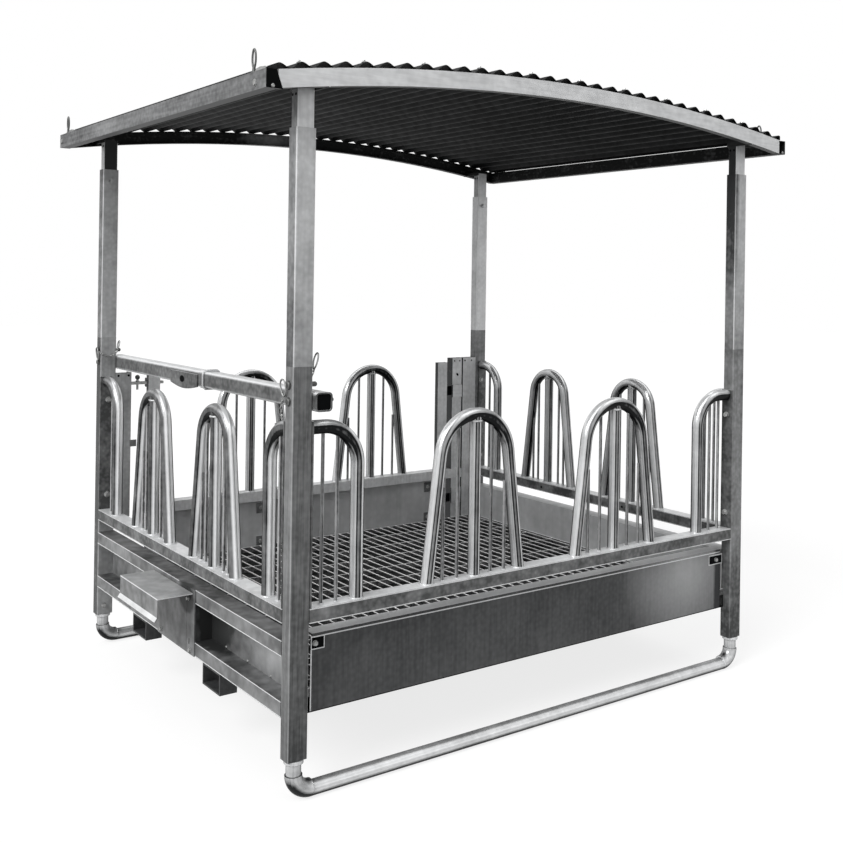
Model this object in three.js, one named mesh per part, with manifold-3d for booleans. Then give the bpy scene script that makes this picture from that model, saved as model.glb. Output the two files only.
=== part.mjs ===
// Square bale feeder with a height-adjustable arched roof. Millimetres, +Z up.
// X runs along the front from left to right, Y from the front to the rear.
// The origin is on the ground, in the middle of the four posts.

import * as THREE from 'three';
import { mergeVertices } from 'three/addons/utils/BufferGeometryUtils.js';
import Module from 'manifold-3d';

const wasm = await Module();
wasm.setup();

// Shared sizes
const seatGap = 0.3;
const overrun = 4;
const roundSides = 10;
const mergeDistance = 1e-4;

// Footprint over the outside of the posts
const footprint = { x: 2150, y: 1770 };

// Corner posts: a lower tube, and an upper tube of the same section plugged into it
const post = { wide: 70, deep: 50, wall: 4, corner: 6, foot: 130, seamRise: 56, top: 2066 };
const clamp = { below: 50, thread: 6, nut: 11, nutTall: 7, head: 9, headTall: 6, stand: 4, sides: 6 };
const spigot = { play: 0.3, wall: 3, below: 90, above: 60, bite: 1 };

// Skids under the front and rear posts
const skid = { tube: 48.3, elbow: 56, bend: 57, sides: 12, bendSteps: 5, collar: 62, collarTall: 12 };

// Side rails that carry the feeding arches, with a flange bar at each post
const rail = { deep: 60, tall: 46, wall: 3, bottom: 543 };
const flange = { thick: 6, wide: 50, above: 22 };

// Feeding arches: bent tube, centre tube, two long and two short rods. Those along the left
// and right sides are narrower
const arch = { tube: 44.5, centreTube: 42.4, rod: 12, longRodAt: 74, bendSteps: 12, rodSides: 6 };
const archAlongX = {
  spacing: 681,
  bendRadius: 150,
  bendHeight: 995,
  baseHalf: 200,
  shortRodAt: 135,
  shortRodBite: 1.2,
};
const archAlongY = {
  spacing: 567,
  bendRadius: 112,
  bendHeight: 1028,
  baseHalf: 170,
  shortRodAt: 111,
  shortRodBite: 10.2,
};

// Half arches at the posts: an upright leg, a quarter bend and a run into the flange bar
const halfArch = { bendRadius: 125, height: 1143, bendSteps: 6 };
const halfArchAlongX = { legAt: 820, rodsAt: [895, 949] };
const halfArchAlongY = { legAt: 688, rodsAt: [757] };

// Trough: panels, lower side frames, floor frame with its sheet, and the grating on it
const panel = {
  thick: 3,
  recess: 31,
  bottom: 259,
  top: 500,
  endGap: 28,
  lip: 55,
};
const base = { deep: 67, railTall: 50, wall: 3, bottom: 254, top: 491, sheet: 3 };
const splice = { thick: 5, near: -199, middle: -133, far: -54, joint: 2, web: 6 };
const slab = { thick: 5, far: 137, top: 470 };
const floor = { tall: 50, wide: 40, wall: 3, joists: 3, joistWide: 40, sheet: 2 };
const grating = { tall: 25, bar: 5, rod: 6, bars: 8, rods: 20, rodSink: 1, edge: 10 };
const forkShoe = { wide: 140, tall: 74, long: 65, wall: 6, at: 335 };

// Folded step plate on the left lower frame
const step = { half: 182, out: 137, thick: 4, top: 476, lip: 66, hemDrop: 14, hemOut: 10 };

// Top bar between the two left posts, just above the half arches, and its pins
const bar = { size: 60, wall: 4, corner: 10, above: 30, past: 18, pinRise: 32 };
const barPlate = {
  thick: 6,
  near: -34,
  far: 215,
  rise: 46,
  bulge: 15,
  holeAt: 103,
  holeRise: 20,
  hole: 13,
  arcSteps: 8,
};
const barCollar = { thick: 4, near: -82, far: -45 };
const pin = { radius: 8, play: 0.4, head: 15, headThick: 8, past: 26 };
const lockPinRise = 51;

// Rear side as a gate: frame, hinges on the right rear post, latch on the left rear post
const gate = {
  stileWide: 54,
  stileDeep: 25,
  latchSide: -856,
  hingeSide: 910,
  hingeStileWide: 62,
  hingeStileDeep: 48,
  innerStileLeft: 751,
  innerStileWide: 61,
  wall: 3,
  hingeRise: 21,
};
const hinge = {
  slot: 9,
  axisOut: 17,
  eye: 15,
  pin: 8,
  play: 0.6,
  tall: 64,
  upperDrop: 211,
  lower: 425,
  arm: 14,
  pinPast: 6,
  strap: 5,
  wall: 4,
};
const keeper = { wide: 70, thick: 6, rise: 14, deep: 48 };
const latch = { below: 37, tall: 12, deep: 26, play: 0.6, inset: 20, clear: 3, pinAt: 43, pinRadius: 5 };
const dropPin = { below: 24, above: 26, head: 9, headTall: 5, collar: 8, collarTall: 4 };

// Roof: legs, eaves, arched end beams, corrugated sheet, lifting eyes
const leg = { wide: 60, deep: 40, wall: 3, corner: 5, aboveSeam: 146, rise: 128 };
const roof = { overhang: 80, rise: 90, springInset: 62, springBelow: 32 };
const eave = { overhang: 147, wide: 40, tall: 56, wall: 3, below: 5 };
const beam = { deep: 30, tall: 55, wall: 3, steps: 20 };
const saddle = { cheek: 5, drop: 12, play: 0.3, cap: 5, past: 4 };
const sheet = { pitch: 76.3, wave: 18, thick: 1, edge: 6, pointsPerWave: 6 };
const eye = {
  ring: 15,
  wire: 9,
  stem: 6,
  stemTall: 45,
  collar: 11,
  collarTall: 6,
  frontInset: 118,
  rearInset: 45,
  sides: 6,
  steps: 12,
};

// Places that several pieces share
const postX = (footprint.x - post.wide) / 2;
const postY = (footprint.y - post.deep) / 2;
const innerX = footprint.x / 2 - post.wide;
const innerY = footprint.y / 2 - post.deep;
const railTop = rail.bottom + rail.tall;
const flangeTop = halfArch.height + flange.above;
const barBottom = flangeTop + bar.above;
const pinHeight = barBottom + bar.pinRise;
const lockPinHeight = pinHeight + lockPinRise;
const seam = lockPinHeight + post.seamRise;
const hingeTop = flangeTop + gate.hingeRise;
const keeperTop = flangeTop + keeper.rise;
const latchHeight = flangeTop - latch.below;
const hingeHeights = [hinge.lower, hingeTop - hinge.upperDrop];
const eaveOuter = footprint.x / 2 + eave.overhang;
const roofFront = -footprint.y / 2 - roof.overhang;
const roofRear = footprint.y / 2 + roof.overhang;
const beamHalf = eaveOuter - eave.wide - seatGap;
const halfSpan = eaveOuter - roof.springInset;
const roofRadius = (halfSpan ** 2 + roof.rise ** 2) / (2 * roof.rise);
const legTop = post.top + leg.rise;
const springing = legTop - roof.springBelow;
const roofCentreZ = springing + roof.rise - roofRadius;
const eaveBottom = springing - eave.below;

const palette = {
  galvanised: { color: 0x9a9ea1, roughness: 0.45, metalness: 0.9 },
  galvanisedDark: { color: 0x6d7174, roughness: 0.5, metalness: 0.9 },
  brightTube: { color: 0xb4b7b9, roughness: 0.3, metalness: 1 },
  roofSheet: { color: 0x55585a, roughness: 0.45, metalness: 0.8 },
  blackSteel: { color: 0x2c2d2f, roughness: 0.6, metalness: 0.6 },
  zincBolt: { color: 0xa8aaa8, roughness: 0.35, metalness: 1 },
};

const feeder = new THREE.Group();

// Solids

function solidOf(geometry) {
  const bare = geometry.clone();
  bare.deleteAttribute('normal');
  bare.deleteAttribute('uv');
  const merged = mergeVertices(bare, mergeDistance);
  return new wasm.Manifold(new wasm.Mesh({
    numProp: 3,
    vertProperties: Float32Array.from(merged.attributes.position.array),
    triVerts: Uint32Array.from(merged.index.array),
  }));
}

function geometryOf(solid) {
  const mesh = solid.getMesh();
  const geometry = new THREE.BufferGeometry();
  geometry.setAttribute('position', new THREE.BufferAttribute(Float32Array.from(mesh.vertProperties), 3));
  geometry.setIndex(Array.from(mesh.triVerts));
  const faceted = geometry.toNonIndexed();
  faceted.computeVertexNormals();
  return faceted;
}

function addPiece(name, solid, finish) {
  const mesh = new THREE.Mesh(geometryOf(solid), new THREE.MeshStandardMaterial(palette[finish]));
  mesh.name = name;
  feeder.add(mesh);
}

function block(x, y, z) {
  const geometry = new THREE.BoxGeometry(x[1] - x[0], y[1] - y[0], z[1] - z[0]);
  geometry.translate((x[0] + x[1]) / 2, (y[0] + y[1]) / 2, (z[0] + z[1]) / 2);
  return solidOf(geometry);
}

function joined(solids) {
  return solids.reduce((whole, next) => whole.add(next));
}

// A span that is mirrored to the side that sign names
function sided(sign, from, to) {
  return sign > 0 ? [from, to] : [-to, -from];
}

function outline(points) {
  return new THREE.Shape(points.map(([u, v]) => new THREE.Vector2(u, v)));
}

function roundedOutline(halfU, halfV, radius) {
  const shape = new THREE.Shape();
  shape.absarc(halfU - radius, halfV - radius, radius, 0, Math.PI / 2);
  shape.absarc(radius - halfU, halfV - radius, radius, Math.PI / 2, Math.PI);
  shape.absarc(radius - halfU, radius - halfV, radius, Math.PI, Math.PI * 1.5);
  shape.absarc(halfU - radius, radius - halfV, radius, Math.PI * 1.5, Math.PI * 2);
  return shape;
}

function rectangleHole(halfU, halfV) {
  return outline([[-halfU, -halfV], [halfU, -halfV], [halfU, halfV], [-halfU, halfV]]);
}

// An outline drawn in X and Y, raised along Z
function raised(shape, z, segments = 3) {
  const geometry = new THREE.ExtrudeGeometry(shape, {
    depth: z[1] - z[0],
    bevelEnabled: false,
    curveSegments: segments,
  });
  geometry.translate(0, 0, z[0]);
  return solidOf(geometry);
}

// An outline drawn in X and Z, drawn out along Y
function alongY(shape, y, segments = 3) {
  const geometry = new THREE.ExtrudeGeometry(shape, {
    depth: y[1] - y[0],
    bevelEnabled: false,
    curveSegments: segments,
  });
  geometry.rotateX(Math.PI / 2);
  geometry.translate(0, y[1], 0);
  return solidOf(geometry);
}

// An outline drawn in Y and Z, drawn out along X
function alongX(shape, x, segments = 3) {
  const geometry = new THREE.ExtrudeGeometry(shape, {
    depth: x[1] - x[0],
    bevelEnabled: false,
    curveSegments: segments,
  });
  geometry.rotateX(Math.PI / 2);
  geometry.rotateZ(Math.PI / 2);
  geometry.translate(x[0], 0, 0);
  return solidOf(geometry);
}

function rodX(radius, x, y, z, sides = roundSides) {
  const geometry = new THREE.CylinderGeometry(radius, radius, x[1] - x[0], sides);
  geometry.rotateZ(Math.PI / 2);
  geometry.translate((x[0] + x[1]) / 2, y, z);
  return solidOf(geometry);
}

function rodY(radius, x, y, z, sides = roundSides) {
  const geometry = new THREE.CylinderGeometry(radius, radius, y[1] - y[0], sides);
  geometry.translate(x, (y[0] + y[1]) / 2, z);
  return solidOf(geometry);
}

function rodZ(radius, x, y, z, sides = roundSides) {
  const geometry = new THREE.CylinderGeometry(radius, radius, z[1] - z[0], sides);
  geometry.rotateX(Math.PI / 2);
  geometry.translate(x, y, (z[0] + z[1]) / 2);
  return solidOf(geometry);
}

// A path through given points, sampled exactly at them
class PointPath extends THREE.Curve {
  constructor(points) {
    super();
    this.points = points;
  }

  getPoint(t) {
    const place = t * (this.points.length - 1);
    const index = Math.min(Math.floor(place), this.points.length - 2);
    return this.points[index].clone().lerp(this.points[index + 1], place - index);
  }

  getPointAt(u) {
    return this.getPoint(u);
  }

  getTangent(t) {
    const place = Math.round(t * (this.points.length - 1));
    const before = this.points[Math.max(place - 1, 0)];
    const after = this.points[Math.min(place + 1, this.points.length - 1)];
    return after.clone().sub(before).normalize();
  }

  getTangentAt(u) {
    return this.getTangent(u);
  }
}

// A regular section with one flat side facing along the first axis of the sweep
function roundSection(radius, sides) {
  const points = [];
  for (let i = 0; i < sides; i += 1) {
    const angle = ((i + 1 / 2) / sides) * Math.PI * 2;
    points.push([radius * Math.cos(angle), radius * Math.sin(angle)]);
  }
  return outline(points);
}

function sweep(points, radius, sides) {
  return solidOf(new THREE.ExtrudeGeometry(roundSection(radius, sides), {
    steps: points.length - 1,
    extrudePath: new PointPath(points),
    bevelEnabled: false,
  }));
}

// Corner posts

const corners = [
  { name: 'front_left', x: -1, y: -1 },
  { name: 'front_right', x: 1, y: -1 },
  { name: 'rear_left', x: -1, y: 1 },
  { name: 'rear_right', x: 1, y: 1 },
];

function tubeSection(wide, deep, wall, corner) {
  const shape = roundedOutline(wide / 2, deep / 2, corner);
  shape.holes.push(rectangleHole(wide / 2 - wall, deep / 2 - wall));
  return shape;
}

// Cross holes for the pins that pass through a left post
function pinHoles(corner, heights) {
  const y = corner.y * postY;
  const x = [-footprint.x / 2 - overrun, -innerX + overrun];
  return joined(heights.map((z) => rodX(pin.radius + pin.play, x, y, z)));
}

// Bent plate beside the left rear post, with the slot that the gate's latch bolt slides into
function keeperPlate() {
  const x = [-innerX - post.wall / 2, -innerX + keeper.wide];
  const face = block(x, [innerY, innerY + keeper.thick], [rail.bottom, keeperTop]);
  const side = [x[1] - keeper.thick, x[1]];
  const turned = block(side, [innerY, innerY + keeper.deep], [rail.bottom, keeperTop]);
  const slotZ = [latchHeight - latch.tall / 2 - latch.play, latchHeight + latch.tall / 2 + latch.play];
  const slotY = [latchY - latch.deep / 2 - latch.play, latchY + latch.deep / 2 + latch.play];
  const slot = block([side[0] - overrun, side[1] + overrun], slotY, slotZ);
  return face.add(turned).subtract(slot);
}

const latchY = innerY + keeper.thick + latch.deep / 2 + overrun;

function lowerPost(corner) {
  let tube = raised(tubeSection(post.wide, post.deep, post.wall, post.corner), [post.foot, seam]);
  tube = tube.translate([corner.x * postX, corner.y * postY, 0]);
  if (corner.x < 0) {
    tube = tube.subtract(pinHoles(corner, [pinHeight, lockPinHeight]));
  }
  if (corner.name === 'rear_left') {
    tube = tube.add(keeperPlate());
  }
  return tube;
}

// Bolt and welded nut on a sleeve's inward face, whose end bears on the roof leg
function clampBolt(corner) {
  const x = corner.x * postX;
  const z = post.top - clamp.below;
  const middle = corner.y * postY;
  const across = (from, to) => (corner.y > 0 ? [middle - to, middle - from] : [middle + from, middle + to]);
  const face = post.deep / 2;
  const head = face + clamp.nutTall + clamp.stand;
  const thread = rodY(clamp.thread, x, across(leg.deep / 2 + seatGap, head), z, clamp.sides);
  const nut = rodY(clamp.nut, x, across(face - seatGap, face + clamp.nutTall), z, clamp.sides);
  const cap = rodY(clamp.head, x, across(head - seatGap, head + clamp.headTall), z, clamp.sides);
  return joined([thread, nut, cap]);
}

function upperPost(corner) {
  const bottom = seam + seatGap;
  const sleeve = raised(tubeSection(post.wide, post.deep, post.wall, post.corner), [bottom, post.top]);
  const boreX = post.wide / 2 - post.wall;
  const boreY = post.deep / 2 - post.wall;
  const plugX = boreX - spigot.play;
  const plugY = boreY - spigot.play;
  const plug = block([-plugX, plugX], [-plugY, plugY], [bottom - spigot.below, bottom + spigot.above]);
  const biteX = boreX + spigot.bite;
  const biteY = boreY + spigot.bite;
  const weld = block([-biteX, biteX], [-biteY, biteY], [bottom, bottom + spigot.above]);
  const holeX = plugX - spigot.wall;
  const holeY = plugY - spigot.wall;
  const hole = block([-holeX, holeX], [-holeY, holeY], [bottom - spigot.below - overrun, post.top]);
  let tube = sleeve.add(plug).add(weld).subtract(hole);
  tube = tube.translate([corner.x * postX, corner.y * postY, 0]).add(clampBolt(corner));
  return corner.x < 0 ? tube.subtract(pinHoles(corner, [lockPinHeight])) : tube;
}

for (const corner of corners) {
  addPiece(`post_lower_${corner.name}`, lowerPost(corner), 'galvanised');
  addPiece(`post_upper_${corner.name}`, upperPost(corner), 'galvanised');
}

// Skids

function skidPath(y) {
  const axisZ = (skid.tube / 2) * Math.cos(Math.PI / skid.sides);
  const top = post.foot - seatGap;
  const rightHalf = [];
  for (let i = 0; i <= skid.bendSteps; i += 1) {
    const angle = (i / skid.bendSteps) * (Math.PI / 2);
    const x = postX - skid.bend + skid.bend * Math.sin(angle);
    const z = axisZ + skid.bend - skid.bend * Math.cos(angle);
    rightHalf.push(new THREE.Vector3(x, y, z));
  }
  rightHalf.push(new THREE.Vector3(postX, y, top));
  const leftHalf = rightHalf.map((point) => new THREE.Vector3(-point.x, point.y, point.z)).reverse();
  return { left: leftHalf, right: rightHalf };
}

function skidTube(y) {
  const path = skidPath(y);
  const run = sweep([...path.left, ...path.right], skid.tube / 2, skid.sides);
  const bends = [path.left.slice(1), path.right.slice(0, -1)];
  const elbows = bends.map((bend) => sweep(bend, skid.elbow / 2, skid.sides));
  const collarZ = [post.foot - seatGap - skid.collarTall, post.foot - seatGap];
  const collars = [-postX, postX].map((x) => rodZ(skid.collar / 2, x, y, collarZ, skid.sides));
  const below = block([-footprint.x, footprint.x], [y - post.deep, y + post.deep], [-skid.tube, 0]);
  return joined([run, ...elbows, ...collars]).subtract(below);
}

addPiece('skid_front', skidTube(-postY), 'galvanised');
addPiece('skid_rear', skidTube(postY), 'galvanised');

// Side rails with their flange bars

// One side of the feeder, drawn as the front side about its own middle: half is the clear
// half width between the posts, and the rail's outer face lies on y = 0
function railSolid(half) {
  const end = half - seatGap;
  const outer = block([-end, end], [0, rail.deep], [rail.bottom, railTop]);
  const inside = block(
    [-end + flange.thick, end - flange.thick],
    [rail.wall, rail.deep - rail.wall],
    [rail.bottom - overrun, railTop - rail.wall],
  );
  const bars = [-1, 1].map((sign) => block(
    sided(sign, end - flange.thick, end),
    [0, flange.wide],
    [rail.bottom, flangeTop],
  ));
  return joined([outer.subtract(inside), ...bars]);
}

// Turns a piece drawn as part of the front side to the side it belongs to
function placed(solid, side) {
  if (side === 'front') {
    return solid.translate([0, -footprint.y / 2, 0]);
  }
  if (side === 'rear') {
    return solid.rotate([0, 0, 180]).translate([0, footprint.y / 2, 0]);
  }
  if (side === 'left') {
    return solid.rotate([0, 0, -90]).translate([-footprint.x / 2, 0, 0]);
  }
  return solid.rotate([0, 0, 90]).translate([footprint.x / 2, 0, 0]);
}

addPiece('rail_front', placed(railSolid(innerX), 'front'), 'galvanised');
addPiece('rail_left', placed(railSolid(innerY), 'left'), 'galvanised');
addPiece('rail_right', placed(railSolid(innerY), 'right'), 'galvanised');

// Feeding arches

// Angle by which the legs lean, so that they run straight into the bend
function legLean(shape) {
  const rise = shape.bendHeight - railTop;
  const slant = Math.hypot(shape.baseHalf, rise);
  return Math.acos(shape.bendRadius / slant) - Math.atan2(rise, shape.baseHalf);
}

function archPath(shape, y) {
  const lean = legLean(shape);
  const below = new THREE.Vector3(
    shape.baseHalf + overrun * Math.tan(lean) * 2,
    y,
    railTop - overrun * 2,
  );
  const points = [below];
  const sweepAngle = Math.PI - lean * 2;
  for (let i = 0; i <= arch.bendSteps; i += 1) {
    const angle = lean + (i / arch.bendSteps) * sweepAngle;
    points.push(new THREE.Vector3(
      shape.bendRadius * Math.cos(angle),
      y,
      shape.bendHeight + shape.bendRadius * Math.sin(angle),
    ));
  }
  points.push(new THREE.Vector3(-below.x, y, below.z));
  return points;
}

// Where a short rod runs into the side of the leaning leg
function shortRodTop(shape) {
  const lean = legLean(shape);
  const reach = arch.tube / 2 / Math.cos(lean) + arch.rod / 2 - shape.shortRodBite;
  return railTop + (shape.baseHalf - shape.shortRodAt - reach) / Math.tan(lean);
}

function archSolid(shape) {
  const y = rail.deep / 2;
  const bottom = railTop + seatGap;
  const crown = shape.bendHeight + shape.bendRadius;
  const bent = sweep(archPath(shape, y), arch.tube / 2, roundSides);
  const centre = rodZ(arch.centreTube / 2, 0, y, [bottom, crown]);
  const rods = [];
  const longTop = shape.bendHeight + Math.sqrt(shape.bendRadius ** 2 - arch.longRodAt ** 2);
  for (const sign of [-1, 1]) {
    rods.push(rodZ(arch.rod / 2, sign * arch.longRodAt, y, [bottom, longTop], arch.rodSides));
    rods.push(rodZ(arch.rod / 2, sign * shape.shortRodAt, y, [bottom, shortRodTop(shape)], arch.rodSides));
  }
  const floorBlock = block(
    [-shape.baseHalf * 2, shape.baseHalf * 2],
    [-arch.tube, rail.deep + arch.tube],
    [railTop - arch.tube, bottom],
  );
  return joined([bent, centre, ...rods]).subtract(floorBlock);
}

// half is the clear half width between the posts, sign names the end that it stands at
function halfArchSolid(shape, half, sign) {
  const y = rail.deep / 2;
  const bottom = railTop + seatGap;
  const end = half - seatGap - flange.thick - seatGap;
  const bendX = shape.legAt + halfArch.bendRadius;
  const bendZ = halfArch.height - halfArch.bendRadius;
  const points = [new THREE.Vector3(shape.legAt, y, bottom)];
  for (let i = 0; i <= halfArch.bendSteps; i += 1) {
    const angle = (i / halfArch.bendSteps) * (Math.PI / 2);
    points.push(new THREE.Vector3(
      bendX - halfArch.bendRadius * Math.cos(angle),
      y,
      bendZ + halfArch.bendRadius * Math.sin(angle),
    ));
  }
  points.push(new THREE.Vector3(end, y, halfArch.height));
  const rods = shape.rodsAt.map((x) => {
    const reach = Math.max(bendX - x, 0);
    const top = bendZ + Math.sqrt(halfArch.bendRadius ** 2 - reach ** 2);
    return rodZ(arch.rod / 2, x, y, [bottom, top], arch.rodSides);
  });
  const solid = joined([sweep(points, arch.tube / 2, roundSides), ...rods]);
  return sign < 0 ? solid.mirror([1, 0, 0]) : solid;
}

for (const side of ['front', 'left', 'right', 'rear']) {
  const alongFront = side === 'front' || side === 'rear';
  const shape = alongFront ? archAlongX : archAlongY;
  const halfShape = alongFront ? halfArchAlongX : halfArchAlongY;
  const half = alongFront ? innerX : innerY;
  for (const [index, sign] of [[1, -1], [2, 1]]) {
    const whole = archSolid(shape).translate([sign * shape.spacing / 2, 0, 0]);
    addPiece(`arch_${side}_${index}`, placed(whole, side), 'brightTube');
    if (side !== 'rear') {
      const cut = halfArchSolid(halfShape, half, sign);
      addPiece(`half_arch_${side}_${index}`, placed(cut, side), 'brightTube');
    }
  }
}

// Trough panels, drawn as the front side

function troughPanel(half, top) {
  const end = half - panel.endGap;
  const face = panel.recess;
  const wall = block([-end, end], [face, face + panel.thick], [panel.bottom, top]);
  const lip = block([-end, end], [face, face + panel.lip], [top - panel.thick, top]);
  return wall.add(lip);
}

addPiece('panel_front', placed(troughPanel(innerX, panel.top), 'front'), 'galvanisedDark');

// Lower side frames: two rails with a sheet set back between them, drawn as the front side

const baseRailTop = base.bottom + base.railTall;
const baseTopRail = base.top - base.railTall;

function baseFrame() {
  const section = outline([
    [0, base.bottom],
    [base.deep + base.sheet, base.bottom],
    [base.deep + base.sheet, base.top],
    [0, base.top],
    [0, baseTopRail],
    [base.deep, baseTopRail],
    [base.deep, baseRailTop],
    [0, baseRailTop],
  ]);
  for (const low of [base.bottom, baseTopRail]) {
    const near = low + base.wall;
    const far = low + base.railTall - base.wall;
    const inner = base.deep - base.wall;
    section.holes.push(outline([[base.wall, near], [inner, near], [inner, far], [base.wall, far]]));
  }
  const half = innerY - seatGap;
  return alongX(section, [-half, half]);
}

// Bolted splice on the outside of the left lower frame. Its places are along Y, so they are
// negated here, where the side is drawn as the front side
function spliceSolids() {
  const z = [base.bottom, base.top];
  const gap = splice.joint / 2;
  const out = [-splice.thick, seatGap];
  const plates = [
    block([-splice.far, -splice.middle - gap], out, z),
    block([-splice.middle + gap, -splice.near], out, z),
    block([-slab.far, -splice.far], [-slab.thick, seatGap], [base.bottom, slab.top]),
  ];
  const webs = [splice.far, splice.near + splice.web].map((y) => block(
    [-y - splice.web, -y],
    [-splice.thick, base.deep + base.sheet],
    [baseRailTop - base.wall / 2, baseTopRail + base.wall / 2],
  ));
  return joined([...plates, ...webs]);
}

addPiece('base_left', placed(baseFrame().add(spliceSolids()), 'left'), 'galvanised');
addPiece('base_right', placed(baseFrame(), 'right'), 'galvanised');

// Folded step plate, drawn as the front side

function stepPlate() {
  const seat = splice.thick + seatGap;
  const outer = -step.out;
  const under = step.top - step.lip;
  const section = outline([
    [-seat, step.top],
    [outer, step.top],
    [outer, under],
    [outer - step.hemOut, under - step.hemDrop],
    [outer - step.hemOut + step.thick, under - step.hemDrop],
    [outer + step.thick, under],
    [outer + step.thick, step.top - step.thick],
    [-seat, step.top - step.thick],
  ]);
  return alongX(section, [-step.half, step.half]);
}

addPiece('step_plate', placed(stepPlate(), 'left'), 'galvanised');

// Fork shoes: short sleeves under the lower side frames

function forkSleeve(at) {
  const x = [at - forkShoe.wide / 2, at + forkShoe.wide / 2];
  const z = [base.bottom - seatGap - forkShoe.tall, base.bottom - seatGap];
  const outer = block(x, [0, forkShoe.long], z);
  const bore = block(
    [x[0] + forkShoe.wall, x[1] - forkShoe.wall],
    [-overrun, forkShoe.long + overrun],
    [z[0] + forkShoe.wall, z[1] - forkShoe.wall],
  );
  return outer.subtract(bore);
}

for (const side of ['left', 'right']) {
  const front = side === 'left' ? forkShoe.at : -forkShoe.at;
  addPiece(`fork_shoe_${side}_front`, placed(forkSleeve(front), side), 'blackSteel');
  addPiece(`fork_shoe_${side}_rear`, placed(forkSleeve(-front), side), 'blackSteel');
}

// Floor frame and grating

const floorHalfX = footprint.x / 2 - base.deep - base.sheet - seatGap;
const floorFront = -footprint.y / 2 + panel.recess + panel.thick + seatGap;
const floorRear = innerY - seatGap;
const floorTop = base.bottom + floor.tall;

function floorFrame() {
  const z = [base.bottom, floorTop];
  const boreZ = [z[0] + floor.wall, z[1] - floor.wall];
  const outers = [];
  const bores = [];
  const boreX = [-floorHalfX - overrun, floorHalfX + overrun];
  for (const y of [[floorFront, floorFront + floor.wide], [floorRear - floor.wide, floorRear]]) {
    outers.push(block([-floorHalfX, floorHalfX], y, z));
    bores.push(block(boreX, [y[0] + floor.wall, y[1] - floor.wall], boreZ));
  }
  for (let i = 0; i < floor.joists + 2; i += 1) {
    const share = (i / (floor.joists + 1)) * 2 - 1;
    const x = share * (floorHalfX - floor.joistWide / 2);
    outers.push(block([x - floor.joistWide / 2, x + floor.joistWide / 2], [floorFront, floorRear], z));
    bores.push(block(
      [x - floor.joistWide / 2 + floor.wall, x + floor.joistWide / 2 - floor.wall],
      [floorFront - overrun, floorRear + overrun],
      boreZ,
    ));
  }
  const sheetZ = [floorTop - floor.sheet, floorTop];
  const closing = block([-floorHalfX, floorHalfX], [floorFront, floorRear], sheetZ);
  return joined(outers).subtract(joined(bores)).add(closing);
}

function gratingSolid() {
  const z = [floorTop + seatGap, floorTop + seatGap + grating.tall];
  const halfX = floorHalfX - seatGap;
  const y0 = floorFront + seatGap;
  const run = floorRear - seatGap - y0 - grating.bar;
  const parts = [];
  for (let i = 0; i < grating.bars; i += 1) {
    const y = y0 + (i / (grating.bars - 1)) * run;
    parts.push(block([-halfX, halfX], [y, y + grating.bar], z));
  }
  for (let i = 0; i < grating.rods; i += 1) {
    const x = ((i / (grating.rods - 1)) * 2 - 1) * (halfX - grating.edge);
    const top = z[1] - grating.rodSink;
    parts.push(block(
      [x - grating.rod / 2, x + grating.rod / 2],
      [y0 + grating.bar / 2, y0 + run + grating.bar / 2],
      [top - grating.rod, top],
    ));
  }
  return joined(parts);
}

addPiece('floor_frame', floorFrame(), 'galvanisedDark');
addPiece('floor_grating', gratingSolid(), 'galvanised');

// Top bar between the left posts

const barX = [-innerX + seatGap, -innerX + seatGap + bar.size];
const barCentreX = (barX[0] + barX[1]) / 2;
const barCentreZ = barBottom + bar.size / 2;

function topBar() {
  const section = roundedOutline(bar.size / 2, bar.size / 2, bar.corner);
  section.holes.push(rectangleHole(bar.size / 2 - bar.wall, bar.size / 2 - bar.wall));
  const end = footprint.y / 2 + bar.past;
  const tube = alongY(section, [-end, end]).translate([barCentreX, 0, barCentreZ]);
  const top = barBottom + barPlate.rise;
  const points = [[barPlate.far, top], [barPlate.far, barBottom]];
  for (let i = 1; i < barPlate.arcSteps; i += 1) {
    const share = i / barPlate.arcSteps;
    points.push([
      barPlate.far + (barPlate.near - barPlate.far) * share,
      barBottom - barPlate.bulge * Math.sin(Math.PI * share),
    ]);
  }
  points.push([barPlate.near, barBottom], [barPlate.near, top]);
  const plate = alongX(outline(points), [barX[0] - barPlate.thick, barX[0] + bar.wall]);
  const size = bar.size / 2 + barCollar.thick;
  const collarSection = roundedOutline(size, size, bar.corner + barCollar.thick);
  collarSection.holes.push(rectangleHole(bar.size / 2 - bar.wall, bar.size / 2 - bar.wall));
  const collarTube = alongY(collarSection, [barCollar.near, barCollar.far]);
  const collar = collarTube.translate([barCentreX, 0, barCentreZ]);
  const plateHole = rodX(
    barPlate.hole,
    [barX[0] - barPlate.thick - overrun, barX[0] + bar.wall + overrun],
    barPlate.holeAt,
    barBottom + barPlate.holeRise,
  );
  const pinBores = [-postY, postY].map((y) => rodX(
    pin.radius + pin.play,
    [barX[0] - overrun, barX[1] + overrun],
    y,
    pinHeight,
  ));
  return joined([tube, plate, collar]).subtract(joined([plateHole, ...pinBores]));
}

addPiece('top_bar', topBar(), 'galvanised');

// Pins pushed in from outside the left posts, each with a head on the post's outer face

function pinSolid(y, z, innerEnd) {
  const face = -footprint.x / 2 - seatGap;
  const shaft = rodX(pin.radius, [face - pin.headThick, innerEnd + pin.past], y, z);
  const head = rodX(pin.head, [face - pin.headThick, face], y, z);
  return shaft.add(head);
}

addPiece('bar_pin_front', pinSolid(-postY, pinHeight, barX[1]), 'zincBolt');
addPiece('bar_pin_rear', pinSolid(postY, pinHeight, barX[1]), 'zincBolt');
addPiece('lock_pin_front', pinSolid(-postY, lockPinHeight, -innerX), 'zincBolt');
addPiece('lock_pin_rear', pinSolid(postY, lockPinHeight, -innerX), 'zincBolt');

// Rear gate

const hingeX = gate.hingeSide + hinge.slot / 2;
const hingeY = footprint.y / 2 + hinge.axisOut;

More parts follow.
